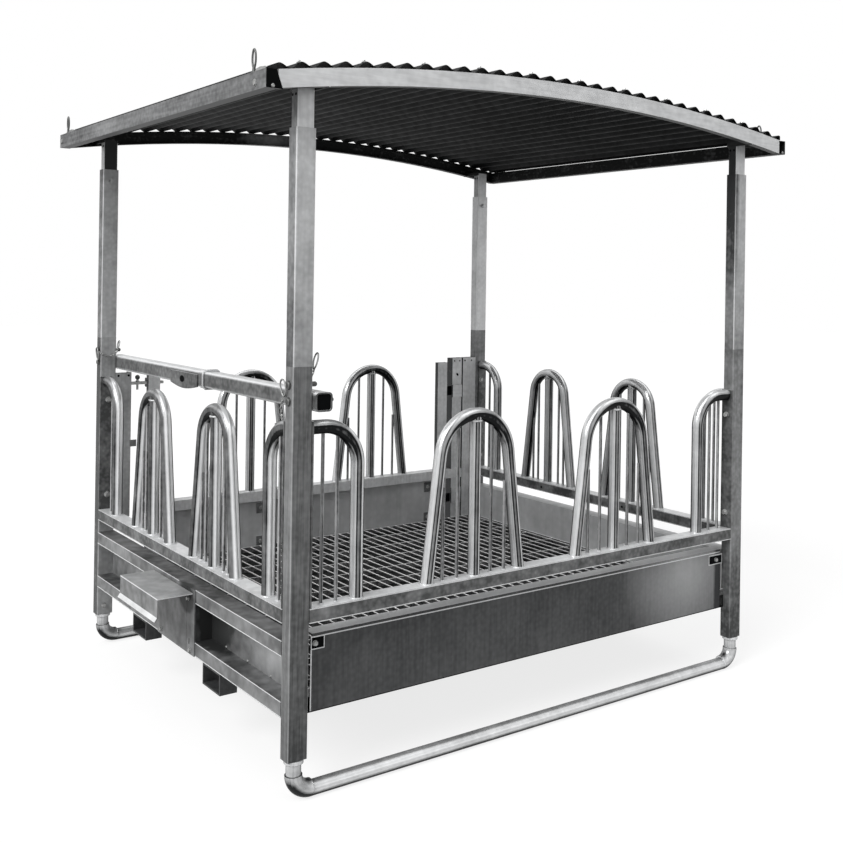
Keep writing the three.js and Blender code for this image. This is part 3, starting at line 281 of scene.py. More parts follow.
finishes = {
    # hot-dip galvanised tube of the lower posts: mid grey, with a little painted shade towards the foot
    "hotDipPost": tinted("#e0e1e2", "#454647", 0.56, climb=(130, 1300, 0.12), wearShare=0.3),
    # the front right one has the most painted shade at its foot, and the rear left one is a paler copy,
    # painted lighter, with painted shade on the faces that look left
    "hotDipPostShaded": tinted("#e0e1e2", "#3a3b3b", 0.56, climb=(130, 560, 0.25), wearShare=0.1),
    "hotDipPostPale": tinted("#e8e9ea", "#484949", 0.4, sides=paintedShadeLeft(0.42), wearShare=0.3),
    # the front left post: painted shade to the front and towards the foot, streaked by run-off
    "hotDipPostShadedFront": tinted(
        "#e0e1e2", "#3c3d3d", 0.64, patchShare=0.06, cloudShare=0.1, runMm=8, runShare=0.08,
        sides=[(outFront, 0.3, 0.9, 0.1)], climb=(130, 900, 0.1), wearShare=0.3,
    ),
    # the same steel on the sleeves, paler, with painted shade on the faces that look left and towards the
    # foot
    "hotDipSleeve": tinted("#e8e9ea", "#505152", 0.24, sides=paintedShadeLeft(0.3), climb=(1334, 1750, 0.26)),
    # the rear right sleeve is a paler copy, painted lighter, and the rear left one a darker copy, painted in
    # shade
    "hotDipSleevePale": tinted("#f4f5f6", "#505152", 0.02, sides=paintedShadeLeft(0.1)),
    "hotDipSleeveDim": tinted("#e8e9ea", "#484949", 0.36, sides=paintedShadeLeft(0.3)),
    # the front right sleeve and leg, whose left faces lie in the roof's shade
    "hotDipSleeveShaded": tinted(
        "#e8e9ea", "#3a3b3c", 0.2, sides=paintedShadeLeft(0.1),
        spots=[((1000, -860, 2100), (34, 200, 620), 0.8)], climb=(1334, 1900, 0.24),
    ),
    "hotDipRoofLegShaded": tinted("#f2f3f4", "#3a3b3c", 0.02, sides=paintedShadeLeft(0.95)),
    # the rear left leg, whose front lies in the roof's shade
    "hotDipRoofLegDim": tinted("#f2f3f4", "#2c2d2e", 0.02, sides=[(outFront, 0.3, 0.9, 0.95)]),
    # the other roof legs: the palest tube, with painted shade on the faces that look left
    "hotDipRoofLeg": tinted("#f2f3f4", "#3a3b3c", 0.02, sides=paintedShadeLeft(0.45)),
    # gate stiles and rail, seen from inside the feeder: pale to the front, with painted shade on the faces
    # that look left
    "hotDipGate": tinted("#f0f1f2", "#3c3d3e", 0.1, sides=paintedShadeLeft(0.8)),
    # galvanised rails: mid grey with soft clouds, a painted highlight on top and along their folds, and
    # corners bright from wear and a painted highlight
    "hotDipRail": tinted(
        "#e6e7e8", "#484949", 0.72, wornAndEdgeLitSteel, cloudShare=0.22, sides=[(upward, 0.6, 0.95, -0.8)],
        folds=[587, 545], foldHalfMm=1.5,
    ),
    # the top bar: the same, in softer and wider clouds
    "hotDipBar": tinted(
        "#f0f1f2", "#484949", 0.76, wornAndEdgeLitSteel, cloudMm=160, cloudShare=0.14, runScale=(0.3, 0.04, 0.3),
        sides=[(upward, 0.6, 0.95, -0.7)],
    ),
    # lower side frames: the same, with slightly darker tops and painted highlights along the folds. The
    # sheet between the rails has painted light near the front and painted shadow beside and under the step
    "hotDipFrame": tinted(
        "#e6e7e8", "#2c2d2d", 0.58, wornAndEdgeLitSteel, patchMm=40, cloudMm=180,
        sides=[(upward, 0.6, 0.95, 0.1)],
        spots=[
            ((-1008, -690, 380), (90, 230, 110), -0.3),
            ((-1008, -215, 380), (90, 260, 170), 0.5),
            ((-1080, -130, 450), (40, 80, 60), 0.6),
        ],
        folds=[489, 443, 302, 256], foldHalfMm=1.5, foldAcross=(-1040, 36.5),
    ),
    # folded step: trodden, with painted light on top and a painted highlight along its fold
    "hotDipStep": tinted(
        "#f0f1f2", "#464747", 0.62, wornAndEdgeLitSteel, patchMm=40, sides=[(upward, 0.6, 0.95, -0.22)],
        folds=[474],
    ),
    # front roof beam: pale with painted light on its front face, darker behind and below
    "hotDipRoofBeam": tinted(
        "#e6e7e8", "#323333", 0.95, metallic=0.4, patchMm=22, patchShare=0.1, cloudShare=0.14,
        runScale=(0.1, 0.1, 1.0), runShare=0.1, sides=[(outFront, 0.5, 0.95, -0.9)],
    ),
    # left eave: rubbed in long marks, with painted shade below
    "hotDipEave": tinted(
        "#e6e7e8", "#3c3d3e", 0.62, cloudMm=300, runScale=(1.0, 0.05, 1.0), runShare=0.08,
        sides=[(downward, 0.5, 0.95, 0.6)], wearShare=0.3,
    ),
    # rear beam and right eave: dark inside with painted shade under the roof, a painted glint of light on
    # the beam, and painted light on the faces outside
    "hotDipUnderRoof": tinted(
        "#c8c9ca", "#1c1d1d", 0.82, sides=[(outRear, 0.5, 0.95, -0.6), (outRight, 0.5, 0.95, -0.6)],
        spots=[((-190, 935, 2270), (220, 60, 70), -0.7)], specular=0.15, metallic=0.1,
        runScale=(0.1, 0.1, 1.0),
    ),
    # galvanised sheet inside the trough: smooth, with long upright runs
    "hotDipSheet": tinted(
        "#f0f1f2", "#5c5d5e", 0.36, patchMm=30, patchShare=0.08, cloudMm=260, runMm=30, relief=0.1,
    ),
    # outer front sheet: smooth and dark, with a painted pool of light near its right end, a painted shadow
    # at that end, and a painted highlight on its folded top
    "hotDipFrontSheet": tinted(
        "#f4f5f6", "#3a3b3c", 0.9, specular=0.15, metallic=0.1, patchShare=0.03, cloudMm=400,
        cloudShare=0.06, runMm=14, runShare=0.02, sides=[(upward, 0.5, 0.95, -0.95)],
        spots=[((760, -854, 450), (360, 200, 330), -0.4), ((968, -854, 380), (34, 60, 400), 0.5)],
        folds=[489], relief=0.08,
    ),
    # sheet under the grating: nearly black, painted shade where the feeder shades it
    "shadedSheet": tinted(
        "#2c2d2d", "#101111", 0.3, specular=0.08, metallic=0, cloudMm=90, cloudShare=0.5, wearShare=0,
        relief=0.1,
    ),
    # drawn and galvanised round tube: smooth and bright, with drawing marks and painted reflection streaks
    # along it, painted reflection bands with a dark and a bright line down each side as seen from the
    # camera, painted shade on its underside and painted light on top
    "brightDrawnTube": tinted(
        "#fafbfc", "#1c1d1e", 0.15, drawnSteel, patchShare=0.05, cloudShare=0.14, drawnShare=0.3,
        sides=[
            (acrossCameraSight, -0.93, -0.99, 0.8),
            (acrossCameraSight, -0.08, 0.04, 0.5),
            (acrossCameraSight, 0.12, 0.22, -0.14),
            (acrossCameraSight, 0.3, 0.65, 0.12),
            (acrossCameraSight, 0.7, 0.78, -0.7),
            (acrossCameraSight, 0.93, 0.98, 0.9),
            (downward, -0.12, 0.12, 0.28),
            (downward, 0.25, 0.8, 0.6),
            (upward, 0.25, 0.6, -0.5),
        ],
    ),
    # the same tube turned a quarter, on the left side, its painted reflection bands the other way: painted
    # shade to the outside, painted highlight inwards
    "brightDrawnTubeTurned": tinted(
        "#fafbfc", "#1c1d1e", 0.74, drawnSteel, patchShare=0.05, cloudShare=0.14, drawnShare=0.25,
        sides=[
            (acrossCameraSight, -0.2, 0.1, -0.75),
            (acrossCameraSight, 0.4, 0.5, 0.35),
            (acrossCameraSight, 0.6, 0.7, -0.5),
            (acrossCameraSight, 0.93, 0.98, 0.9),
            (downward, 0.25, 0.8, 0.6),
            (upward, 0.25, 0.6, -0.4),
        ],
    ),
    # the thin rods beside it: the same steel, left darker, with painted reflection bands as seen from the
    # camera
    "drawnRod": tinted(
        "#f2f3f4", "#1c1d1e", 0.5, drawnSteel, roughness=0.25,
        sides=[
            (acrossCameraSight, -0.2, -0.8, -0.3),
            (acrossCameraSight, 0.0, 0.4, 0.25),
            (acrossCameraSight, 0.6, 0.9, -0.5),
        ],
    ),
    # skid tube: the same tube laid down, with painted reflection bands, bright along its side and darker on
    # top, and painted shade below and at its elbows
    "brightSkidTube": tinted(
        "#f2f3f4", "#2a2b2c", -0.1, drawnSteel, metallic=0.4, edge="#2a2a2a", patchShare=0.1,
        runScale=(0.05, 1.0, 1.0), drawnShare=0.16,
        sides=[(upward, 0.55, 0.9, 0.5), (downward, 0.05, 0.5, 0.9)],
        spots=[((x, y, 60), (110, 60, 100), 0.5) for x in (-1040, 1040) for y in (-860, 860)], relief=0.1,
    ),
    # thin galvanised wire and bar of the grating: a painted highlight on top
    "gratingWireLitOnTop": tinted(
        "#ffffff", "#363738", 0.76, metallic=0.2, roughness=0.35, patchMm=8, cloudMm=60, cloudShare=0.1,
        sides=[(upward, 0.3, 0.7, -0.95)], wearShare=0, grainMm=2,
    ),
    # coated roof sheet: dark and even, with faint runs down the slope
    "coatedRoofSheet": tinted(
        "#2a2b2c", "#101111", 0.34, metallic=0, specular=0.06, roughness=0.5, patchShare=0.15,
        cloudMm=400, cloudShare=0.4, runMm=40, runScale=(0.1, 1.0, 1.0), runShare=0.3, wearShare=0,
        relief=0.08,
    ),
    # painted steel of the fork shoes: dark, grey at the edges from rubbing and a painted highlight
    "darkPaintedSteel": tinted("#6a6b6c", "#202122", 0.6, metallic=0.1, cloudMm=60, relief=0.35),
    # zinc plated bolts, pins, rings and chain: small and smooth, with painted shade on the faces that look
    # down and painted reflection streaks
    "zincPlatedFastener": tinted(
        "#e8e9e8", "#2e2f2e", 0.25, metallic=0.6, roughness=0.26, edge="#3a3a3a", patchMm=6, cloudMm=18,
        runMm=8, runScale=(1.0, 1.0, 1.0), drawnShare=0.3, sides=[(downward, 0.1, 0.9, 0.5)], wearShare=0,
        grainMm=1.2, relief=0.12,
    ),
    # lifting eyes, pins, the drop pin's ball and the splice's slot: plating gone dull and dark
    "dulledPlating": tinted("#7a7b7a", "#1c1d1c", 0.5, metallic=0.2, patchMm=5, cloudMm=16, grainMm=1.2),
    # weld bead: rough zinc over a rippled seam
    "galvanisedWeldBead": tinted(
        "#f0f1f2", "#8a8b8c", 0.1, patchMm=4, patchShare=0.4, cloudMm=12, wearShare=0, grainMm=1.5,
        relief=0.5,
    ),
    # the inside of a hole, in the dark
    "unlitBore": tinted("#161718", "#08090a", 0.6, metallic=0, specular=0.05, roughness=0.8),
}
materials = {name: zincSteel(name, spec) for name, spec in finishes.items()}

# which finish each CAD node takes: the first row with a start that the node's name has
nodeFinish = {
    "hotDipPostShadedFront": ["post_lower_front_left"],
    "hotDipPostShaded": ["post_lower_front_right"],
    "hotDipPostPale": ["post_lower_rear_left"],
    "hotDipPost": ["post_lower_rear_right"],
    "hotDipSleeve": ["post_upper_front_left"],
    "hotDipSleeveShaded": ["post_upper_front_right"],
    "hotDipSleeveDim": ["post_upper_rear_left"],
    "hotDipSleevePale": ["post_upper_rear_right"],
    "hotDipRoofLegShaded": ["roof_leg_front_right"],
    "hotDipRoofLegDim": ["roof_leg_rear_left"],
    "hotDipRoofLeg": ["roof_leg"],
    "hotDipRail": ["rail", "top_bar"],
    "hotDipSheet": ["base_right", "gate_panel"],
    "hotDipFrame": ["base_left"],
    "hotDipStep": ["step_plate"],
    "hotDipGate": ["gate_frame", "hinge_post"],
    "hotDipFrontSheet": ["panel_front"],
    "shadedSheet": ["floor_frame"],
    "gratingWireLitOnTop": ["floor_grating"],
    "darkPaintedSteel": ["fork_shoe"],
    "hotDipRoofBeam": ["roof_beam_front"],
    "hotDipUnderRoof": ["roof_beam_rear", "roof_eave_right"],
    "hotDipEave": ["roof_eave_left"],
    "coatedRoofSheet": ["roof_sheet"],
    "brightDrawnTube": ["arch", "half_arch"],
    "brightSkidTube": ["skid"],
    "zincPlatedFastener": ["latch_bolt", "drop_pin", "bar_pin", "lock_pin", "lifting_eye"],
}
for name, node in nodes.items():
    finish = next(row for row, starts in nodeFinish.items() if name.startswith(tuple(starts)))
    node.data.materials.clear()
    node.data.materials.append(materials[finish])
print("materials made:", len(materials))


sharpDeg = 38  # turns sharper than this stay crisp, such as flat ends and hexagons


def meshData(name, mesh, material):
    data = bpy.data.meshes.new(name)
    mesh.to_mesh(data)
    mesh.free()
    data.materials.append(material)
    return data


def newPiece(name, mesh, finish, body, smooth=False, replaces=None):
    # mesh is drawn in mm
    bmesh.ops.scale(mesh, vec=(mm, mm, mm), verts=mesh.verts)
    mesh.normal_update()
    data = meshData(name, mesh, materials[finish])
    for face in data.polygons:
        face.use_smooth = smooth
    if smooth:
        data.set_sharp_from_angle(angle=math.radians(sharpDeg))
    piece = addObject(name, data)
    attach(piece, body)
    if replaces:
        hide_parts(replaces)


def newFastener(name, mesh, body, finish="zincPlatedFastener", replaces=None):
    newPiece(name, mesh, finish, body, True, replaces)


def squareTo(axis):
    # two directions square to an axis and to each other
    other = Vector((0, 0, 1)) if abs(axis.z) < 0.9 else Vector((1, 0, 0))
    up = axis.cross(other).normalized()
    return up, axis.cross(up)


def arc(steps, sweep=None, start=0.0):
    # cosine and sine at even steps along an arc, or round a full circle without its last point
    count = steps + 1 if sweep else steps
    angles = [start + (sweep or 2 * math.pi) * i / steps for i in range(count)]
    return [(math.cos(angle), math.sin(angle)) for angle in angles]


def addRingOf(mesh, centre, up, side, radius, sides, start=0.0):
    return [mesh.verts.new(centre + (up * c + side * s) * radius) for c, s in arc(sides, start=start)]


def joinRings(mesh, spans):
    # faces between each pair of rings that have the same number of points
    made = []
    for a, b in spans:
        for i in range(len(a)):
            j = (i + 1) % len(a)
            made.append(mesh.faces.new((a[i], a[j], b[j], b[i])))
    return made


def capRings(mesh, rings):
    mesh.faces.new(list(reversed(rings[0])))
    mesh.faces.new(rings[-1])


def addTube(mesh, points, radius, sides=20, closed=False):
    # a round bar swept along points; radius is a number, or a list with one for each point
    points = [Vector(p) for p in points]
    count = len(points)
    rings = []
    up = None
    for i, point in enumerate(points):
        before = points[(i - 1) % count] if closed else points[max(i - 1, 0)]
        after = points[(i + 1) % count] if closed else points[min(i + 1, count - 1)]
        along = (after - before).normalized()
        if up is None:
            up = squareTo(along)[0]
        up = (up - along * up.dot(along)).normalized()
        thick = radius[i] if isinstance(radius, list) else radius
        rings.append(addRingOf(mesh, point, up, along.cross(up), thick, sides))
    joinRings(mesh, zip(rings, rings[1:] + rings[:1] if closed else rings[1:]))
    if not closed:
        capRings(mesh, rings)


def addTurned(mesh, centre, axis, profile, sides=20):
    # profile lists (distance along the axis, radius) from one end to the other
    axis = Vector(axis).normalized()
    up, side = squareTo(axis)
    rings = []
    for along, radius in profile:
        middle = Vector(centre) + axis * along
        rings.append(addRingOf(mesh, middle, up, side, radius, sides, math.pi / sides))
    joinRings(mesh, zip(rings, rings[1:]))
    capRings(mesh, rings)


def addPlate(mesh, low, high, chamfer=0.0):
    # a flat plate between two corners, with its edges broken
    made = bmesh.ops.create_cube(mesh, size=1.0)["verts"]
    low, high = Vector(low), Vector(high)
    for vert in made:
        vert.co = Vector([low[i] + (vert.co[i] + 0.5) * (high[i] - low[i]) for i in range(3)])
    if chamfer:
        # each edge once, in the order of the corners, so every run gives the same mesh
        edges = list(dict.fromkeys(line for vert in made for line in vert.link_edges))
        bmesh.ops.bevel(mesh, geom=edges, offset=chamfer, segments=2, affect="EDGES", profile=0.5)


def addProfile(mesh, points, normal, thick):
    # a plate cut to an outline, raised along normal
    lift = Vector(normal).normalized() * thick
    low = [mesh.verts.new(Vector(p)) for p in points]
    high = [mesh.verts.new(Vector(p) + lift) for p in points]
    made = [mesh.faces.new(list(reversed(low))), mesh.faces.new(high)] + joinRings(mesh, [(low, high)])
    bmesh.ops.recalc_face_normals(mesh, faces=made)


# washer under every bolt, and the shares of the head's height and width at its chamfer
hexBolt = {
    "washer": 1.8,
    "washerRim": 1.4,
    "washerSides": 22,
    "washerTopShare": 0.93,
    "straightShare": 0.8,
    "topShare": 0.84,
}


def addHexBolt(mesh, centre, axis, across, tall, washer):
    # chamfered hexagon head on a round washer; centre lies on the surface below it
    size = across / 2 / math.cos(math.pi / 6)
    seat = hexBolt["washer"]
    disc = [(0, washer), (hexBolt["washerRim"], washer), (seat, washer * hexBolt["washerTopShare"])]
    chamfer = seat + tall * hexBolt["straightShare"]
    head = [(seat, size), (chamfer, size), (seat + tall, size * hexBolt["topShare"])]
    addTurned(mesh, centre, axis, disc, hexBolt["washerSides"])
    addTurned(mesh, centre, axis, head, 6)


# weld bead round a foot, a little uneven as a hand weld is
bead = {
    "wire": 3.4,
    "rodShare": 0.7,
    "steps": 24,
    "sides": 7,
    "stray": (-0.4, 0.8),
    "swellShares": (0.8, 1.2),
    "lift": 0.4,
}


def addBead(mesh, centre, radius, thick):
    points = []
    for c, s in arc(bead["steps"]):
        reach = radius + dice.uniform(*bead["stray"])
        points.append((centre[0] + reach * c, centre[1] + reach * s, centre[2] + bead["lift"]))
    wire = [thick * dice.uniform(*bead["swellShares"]) for _ in points]
    addTube(mesh, points, wire, bead["sides"], closed=True)


# feeding arches: bent tube, centre tube and thin rods, each welded to the rail
arch = {
    "tube": 44.5,
    "centreTube": 42.4,
    "rod": 12,
    "tubeSides": 32,
    "centreSides": 28,
    "rodSides": 14,
    "bendSteps": 32,
    "halfBendSteps": 18,
    "railTop": 589.3,
    "longRodAt": 74,
    "shortRodTop": 903,
    "alongX": {"spacing": 681, "bendRadius": 150, "bendHeight": 995, "baseHalf": 200, "shortRodAt": 135},
    "alongY": {"spacing": 567, "bendRadius": 112, "bendHeight": 1028, "baseHalf": 170, "shortRodAt": 111},
    "half": {"bendRadius": 125, "height": 1143},
    "halfAlongX": {"legAt": 820, "rodsAt": [895, 949], "end": 998.4},
    "halfAlongY": {"legAt": 688, "rodsAt": [757], "end": 828.4},
    # x, y and turn in degrees of each side
    "place": {"front": (0, -855, 0), "right": (1045, 0, 90), "rear": (0, 855, 180), "left": (-1045, 0, -90)},
    "weldGap": 0.8,
    "crownDrop": 1,  # from the bent tube's underside down to the centre tube's weld
}


def finishArch(tubes, rods, feet, name, side, at):
    x, y, turn = arch["place"][side]
    toSide = (
        Matrix.Translation((x, y, 0))
        @ Matrix.Rotation(math.radians(turn), 4, "Z")
        @ Matrix.Translation((at, 0, 0))
    )
    welds = bmesh.new()
    for place, height, size in feet:
        thick = bead["wire"] * (bead["rodShare"] if size == arch["rod"] else 1)
        addBead(welds, (place, 0, height), size / 2 + arch["weldGap"], thick)
    for part in (tubes, rods, welds):
        bmesh.ops.transform(part, matrix=toSide, verts=part.verts)
    body = "gate" if side == "rear" else "frame"
    finish = "brightDrawnTubeTurned" if side == "left" else "brightDrawnTube"
    newPiece(name + "_tube", tubes, finish, body, True, name)
    newPiece(name + "_rods", rods, "drawnRod", body, True)
    newPiece(name + "_welds", welds, "galvanisedWeldBead", body, True)


def addRod(mesh, x, top):
    addTube(mesh, [(x, 0, arch["railTop"]), (x, 0, top)], arch["rod"] / 2, arch["rodSides"])


def wholeArch(name, side, at, shape):
    tubes = bmesh.new()
    foot = arch["railTop"]
    radius = shape["bendRadius"]
    rise = shape["bendHeight"] - foot
    slant = math.hypot(shape["baseHalf"], rise)
    lean = math.acos(radius / slant) - math.atan2(rise, shape["baseHalf"])
    path = [(shape["baseHalf"], 0, foot)]
    for c, s in arc(arch["bendSteps"], math.pi - 2 * lean, lean):
        path.append((radius * c, 0, shape["bendHeight"] + radius * s))
    path.append((-shape["baseHalf"], 0, foot))
    addTube(tubes, path, arch["tube"] / 2, arch["tubeSides"])
    crown = shape["bendHeight"] + radius
    addTube(tubes, [(0, 0, foot), (0, 0, crown)], arch["centreTube"] / 2, arch["centreSides"])
    longTop = shape["bendHeight"] + math.sqrt(radius**2 - arch["longRodAt"] ** 2)
    rods = bmesh.new()
    feet = [(0, foot, arch["centreTube"])]
    for sign in (-1, 1):
        for reach, top in ((arch["longRodAt"], longTop), (shape["shortRodAt"], arch["shortRodTop"])):
            addRod(rods, sign * reach, top)
            feet.append((sign * reach, foot, arch["rod"]))
    feet += [(sign * shape["baseHalf"], foot, arch["tube"]) for sign in (-1, 1)]
    feet.append((0, crown - arch["tube"] / 2 - arch["crownDrop"], arch["centreTube"]))
    finishArch(tubes, rods, feet, name, side, at)


def halfArch(name, side, sign, shape):
    # an upright leg, a quarter bend and a run into the flange bar
    tubes = bmesh.new()
    rods = bmesh.new()
    foot = arch["railTop"]
    radius = arch["half"]["bendRadius"]
    height = arch["half"]["height"]
    bendX = shape["legAt"] + radius
    bendZ = height - radius
    path = [(sign * shape["legAt"], 0, foot)]
    for c, s in arc(arch["halfBendSteps"], math.pi / 2):
        path.append((sign * (bendX - radius * c), 0, bendZ + radius * s))
    path.append((sign * shape["end"], 0, height))
    addTube(tubes, path, arch["tube"] / 2, arch["tubeSides"])
    feet = [(sign * shape["legAt"], foot, arch["tube"])]
    for x in shape["rodsAt"]:
        addRod(rods, sign * x, bendZ + math.sqrt(radius**2 - max(bendX - x, 0) ** 2))
        feet.append((sign * x, foot, arch["rod"]))
    finishArch(tubes, rods, feet, name, side, 0)


for side in ("front", "left", "right", "rear"):
    run = "X" if side in ("front", "rear") else "Y"
    shape = arch["along" + run]
    for index, sign in ((1, -1), (2, 1)):
        wholeArch(f"arch_{side}_{index}", side, sign * shape["spacing"] / 2, shape)
        if side != "rear":
            halfArch(f"half_arch_{side}_{index}", side, sign, arch["halfAlong" + run])
print("arches bent")

# skids: round tube on the ground, with a thicker elbow and a collar at each end
skid = {
    "tube": 48.3,
    "elbow": 56,
    "bend": 57,
    "sides": 32,
    "bendSteps": 14,
    "collar": 62,
    "collarTall": 12,
    "collarEdge": 1,
    "seamHalf": 2.5,
    "seamDeep": (2, 0.2),  # under the elbow's surface at its edges and at its middle
    "seamSides": 28,
    "seamBefore": 2,
    "postX": 1040,
    "postY": 860,
    "top": 129.7,
}

for name, y in (("skid_front", -skid["postY"]), ("skid_rear", skid["postY"])):
    mesh = bmesh.new()
    tubeRadius = skid["tube"] / 2
    elbowRadius = skid["elbow"] / 2
    straight = skid["postX"] - skid["bend"]
    bendTop = skid["bend"] + tubeRadius
    addTube(mesh, [(-straight, y, tubeRadius), (straight, y, tubeRadius)], tubeRadius, skid["sides"])
    for sign in (-1, 1):
        x = sign * skid["postX"]
        addTube(mesh, [(x, y, bendTop), (x, y, skid["top"])], tubeRadius, skid["sides"])
        elbow = []
        for c, s in arc(skid["bendSteps"], math.pi / 2):
            height = elbowRadius + (bendTop - elbowRadius) * (1 - c)
            elbow.append((sign * (straight + skid["bend"] * s), y, height))
        addTube(mesh, elbow, elbowRadius, skid["sides"])
        # weld seam where the elbow meets the tube, and the collar under the post
        deep, shallow = skid["seamDeep"]
        half = skid["seamHalf"]
        seam = [(-half, elbowRadius - deep), (0, elbowRadius - shallow), (half, elbowRadius - deep)]
        seamX = sign * (straight - skid["seamBefore"])
        addTurned(mesh, (seamX, y, elbowRadius), outRight, seam, skid["seamSides"])
        radius = skid["collar"] / 2
        tall = skid["collarTall"]
        cut = skid["collarEdge"]
        collar = [(0, radius - cut), (cut, radius), (tall - cut, radius), (tall, radius - cut)]
        addTurned(mesh, (x, y, skid["top"] - tall), upward, collar, skid["sides"])
    newPiece(name + "_bent", mesh, "brightSkidTube", "frame", True, name)
print("skids bent")

# corrugated roof sheet, bent over the two end beams
sheet = {
    "pitch": 76.3,
    "wave": 18,
    "thick": 1,
    "crests": 32,
    "edge": 6,
    "pointsPerWave": 14,
    "seatRadius": 7575.86,
    "centreZ": -5268.56,
    "halfDeep": 965,
    "screwEvery": 3,
    "screwAt": 950,
    "screwSink": 0.6,
    "screwSides": 18,
    "screwWasher": [(0, 9), (1.8, 9), (2.6, 7)],
    "screwHead": [(2.6, 4.6), (6.5, 4.6), (7.4, 3.8)],
    "strip": {"from": 1186, "to": 1187.5, "low": 2215.6, "high": 2231, "edge": 0.3},
}
sheetHalf = (sheet["crests"] - 1) / 2 * sheet["pitch"]


def sheetPoint(along, lift):
    phase = (along + sheetHalf) / sheet["pitch"] * math.pi * 2
    radius = sheet["seatRadius"] + lift + sheet["wave"] / 2 * (1 + math.cos(phase))
    angle = along / sheet["seatRadius"]
    return radius * math.sin(angle), sheet["centreZ"] + radius * math.cos(angle)


mesh = bmesh.new()
count = (sheet["crests"] - 1) * sheet["pointsPerWave"]
places = [(2 * i / count - 1) * sheetHalf for i in range(count + 1)]
places = [-sheetHalf - sheet["edge"]] + places + [sheetHalf + sheet["edge"]]
outline = [sheetPoint(along, 0) for along in places]
outline += [sheetPoint(along, sheet["thick"]) for along in reversed(places)]
rows = []
for y in (-sheet["halfDeep"], 0, sheet["halfDeep"]):
    rows.append([mesh.verts.new((x, y, z)) for x, z in outline])
joinRings(mesh, zip(rows, rows[1:]))
for row in (rows[0], rows[-1]):
    for i in range(len(places) - 1):
        mesh.faces.new((row[i], row[i + 1], row[-2 - i], row[-1 - i]))
bmesh.ops.recalc_face_normals(mesh, faces=mesh.faces)
newPiece("roof_sheet_corrugated", mesh, "coatedRoofSheet", "roof", True, "roof_sheet")

# strips that close the gap between the sheet's last wave and each eave
mesh = bmesh.new()
strip = sheet["strip"]
deep = sheet["halfDeep"]
for sign in (-1, 1):
    ends = sorted((sign * strip["from"], sign * strip["to"]))
    addPlate(mesh, (ends[0], -deep, strip["low"]), (ends[1], deep, strip["high"]), strip["edge"])
newPiece("roof_edge_strips", mesh, "coatedRoofSheet", "roof")

mesh = bmesh.new()
for crest in range(1, sheet["crests"] - 1, sheet["screwEvery"]):
    along = -sheetHalf + crest * sheet["pitch"]
    angle = along / sheet["seatRadius"]
    x, z = sheetPoint(along, sheet["thick"])
    up = Vector((math.sin(angle), 0, math.cos(angle)))
    for y in (-sheet["screwAt"], sheet["screwAt"]):
        seat = Vector((x, y, z)) - up * sheet["screwSink"]
        addTurned(mesh, seat, up, sheet["screwWasher"], sheet["screwSides"])
        addTurned(mesh, seat, up, sheet["screwHead"], 6)
newFastener("roof_sheet_screws", mesh, "roof")
print("roof sheet rolled")

# welded floor grating: flat bars across, thin rods from front to rear, an edge bar all round
grating = {
    "tall": 25,
    "bar": 4,
    "barDrop": 1,
    "barEdge": 0.5,
    "barAt": 31,
    "barPitch": 162.5,
    "barsBefore": 5,
    "bars": 10,
    "rod": 6,
    "rodSides": 8,
    "rodBite": 2,
    "rodPitch": 48.8,
    "rods": 41,
    "rim": 5,
    "rimEdge": 0.8,
    "sideDrop": 0.5,
    "low": 304.3,
    "halfX": 1004.4,
    "front": -850.4,
    "rear": 834.4,
}

mesh = bmesh.new()
lowZ = grating["low"]
highZ = lowZ + grating["tall"]
rim = grating["rim"]
halfX = grating["halfX"]
near = grating["front"] + rim
far = grating["rear"] - rim
for i in range(grating["bars"]):
    y = grating["barAt"] + grating["barPitch"] * (i - grating["barsBefore"])
    high = (halfX - rim, y + grating["bar"], highZ - grating["barDrop"])
    addPlate(mesh, (rim - halfX, y, lowZ), high, grating["barEdge"])
for y in (grating["front"], far):
    addPlate(mesh, (-halfX, y, lowZ), (halfX, y + rim, highZ), grating["rimEdge"])
for x in (-halfX, halfX - rim):
    addPlate(mesh, (x, near, lowZ), (x + rim, far, highZ - grating["sideDrop"]), grating["rimEdge"])
radius = grating["rod"] / 2
bite = grating["rodBite"]
for i in range(grating["rods"]):
    x = (i - (grating["rods"] - 1) / 2) * grating["rodPitch"]
    ends = [(x, near - bite, highZ - radius), (x, far + bite, highZ - radius)]
    addTube(mesh, ends, radius, grating["rodSides"])
newPiece("floor_grating_welded", mesh, "gratingWireLitOnTop", "frame", False, "floor_grating")
print("grating laid")

# lifting eyes in the eaves, each a long loop on a short stem, with a flat lug beside it
eye = {
    "halfWide": 11,
    "halfTall": 28,
    "wire": 6.5,
    "steps": 36,
    "wireSides": 14,
    "stem": 6,
    "stemSides": 22,
    "stemBite": 2,
    "collar": 11,
    "collarTall": 6,
    "step": 0.2,
    "taperShares": (0.7, 0.8),  # of the collar's height where it turns in, and of its width there
    "x": 1202,
    "seat": 2213.3,
    "top": 2292,
    "places": {
        "front_left": (-1, -847),
        "front_right": (1, -847),
        "rear_left": (-1, 920),
        "rear_right": (1, 920),
    },
    "lugFrom": 12,
    "lugSink": 0.3,
    "lugLong": 70,
    "lugTall": 17,
    "lugThick": 5,
    # share of the lug's length and height at each corner of its outline
    "lugShares": [(0, 0), (0.72, 0), (0.94, 0.3), (1, 0.6), (0.94, 0.8), (0.45, 1), (0.1, 0.85), (0, 0.5)],
}

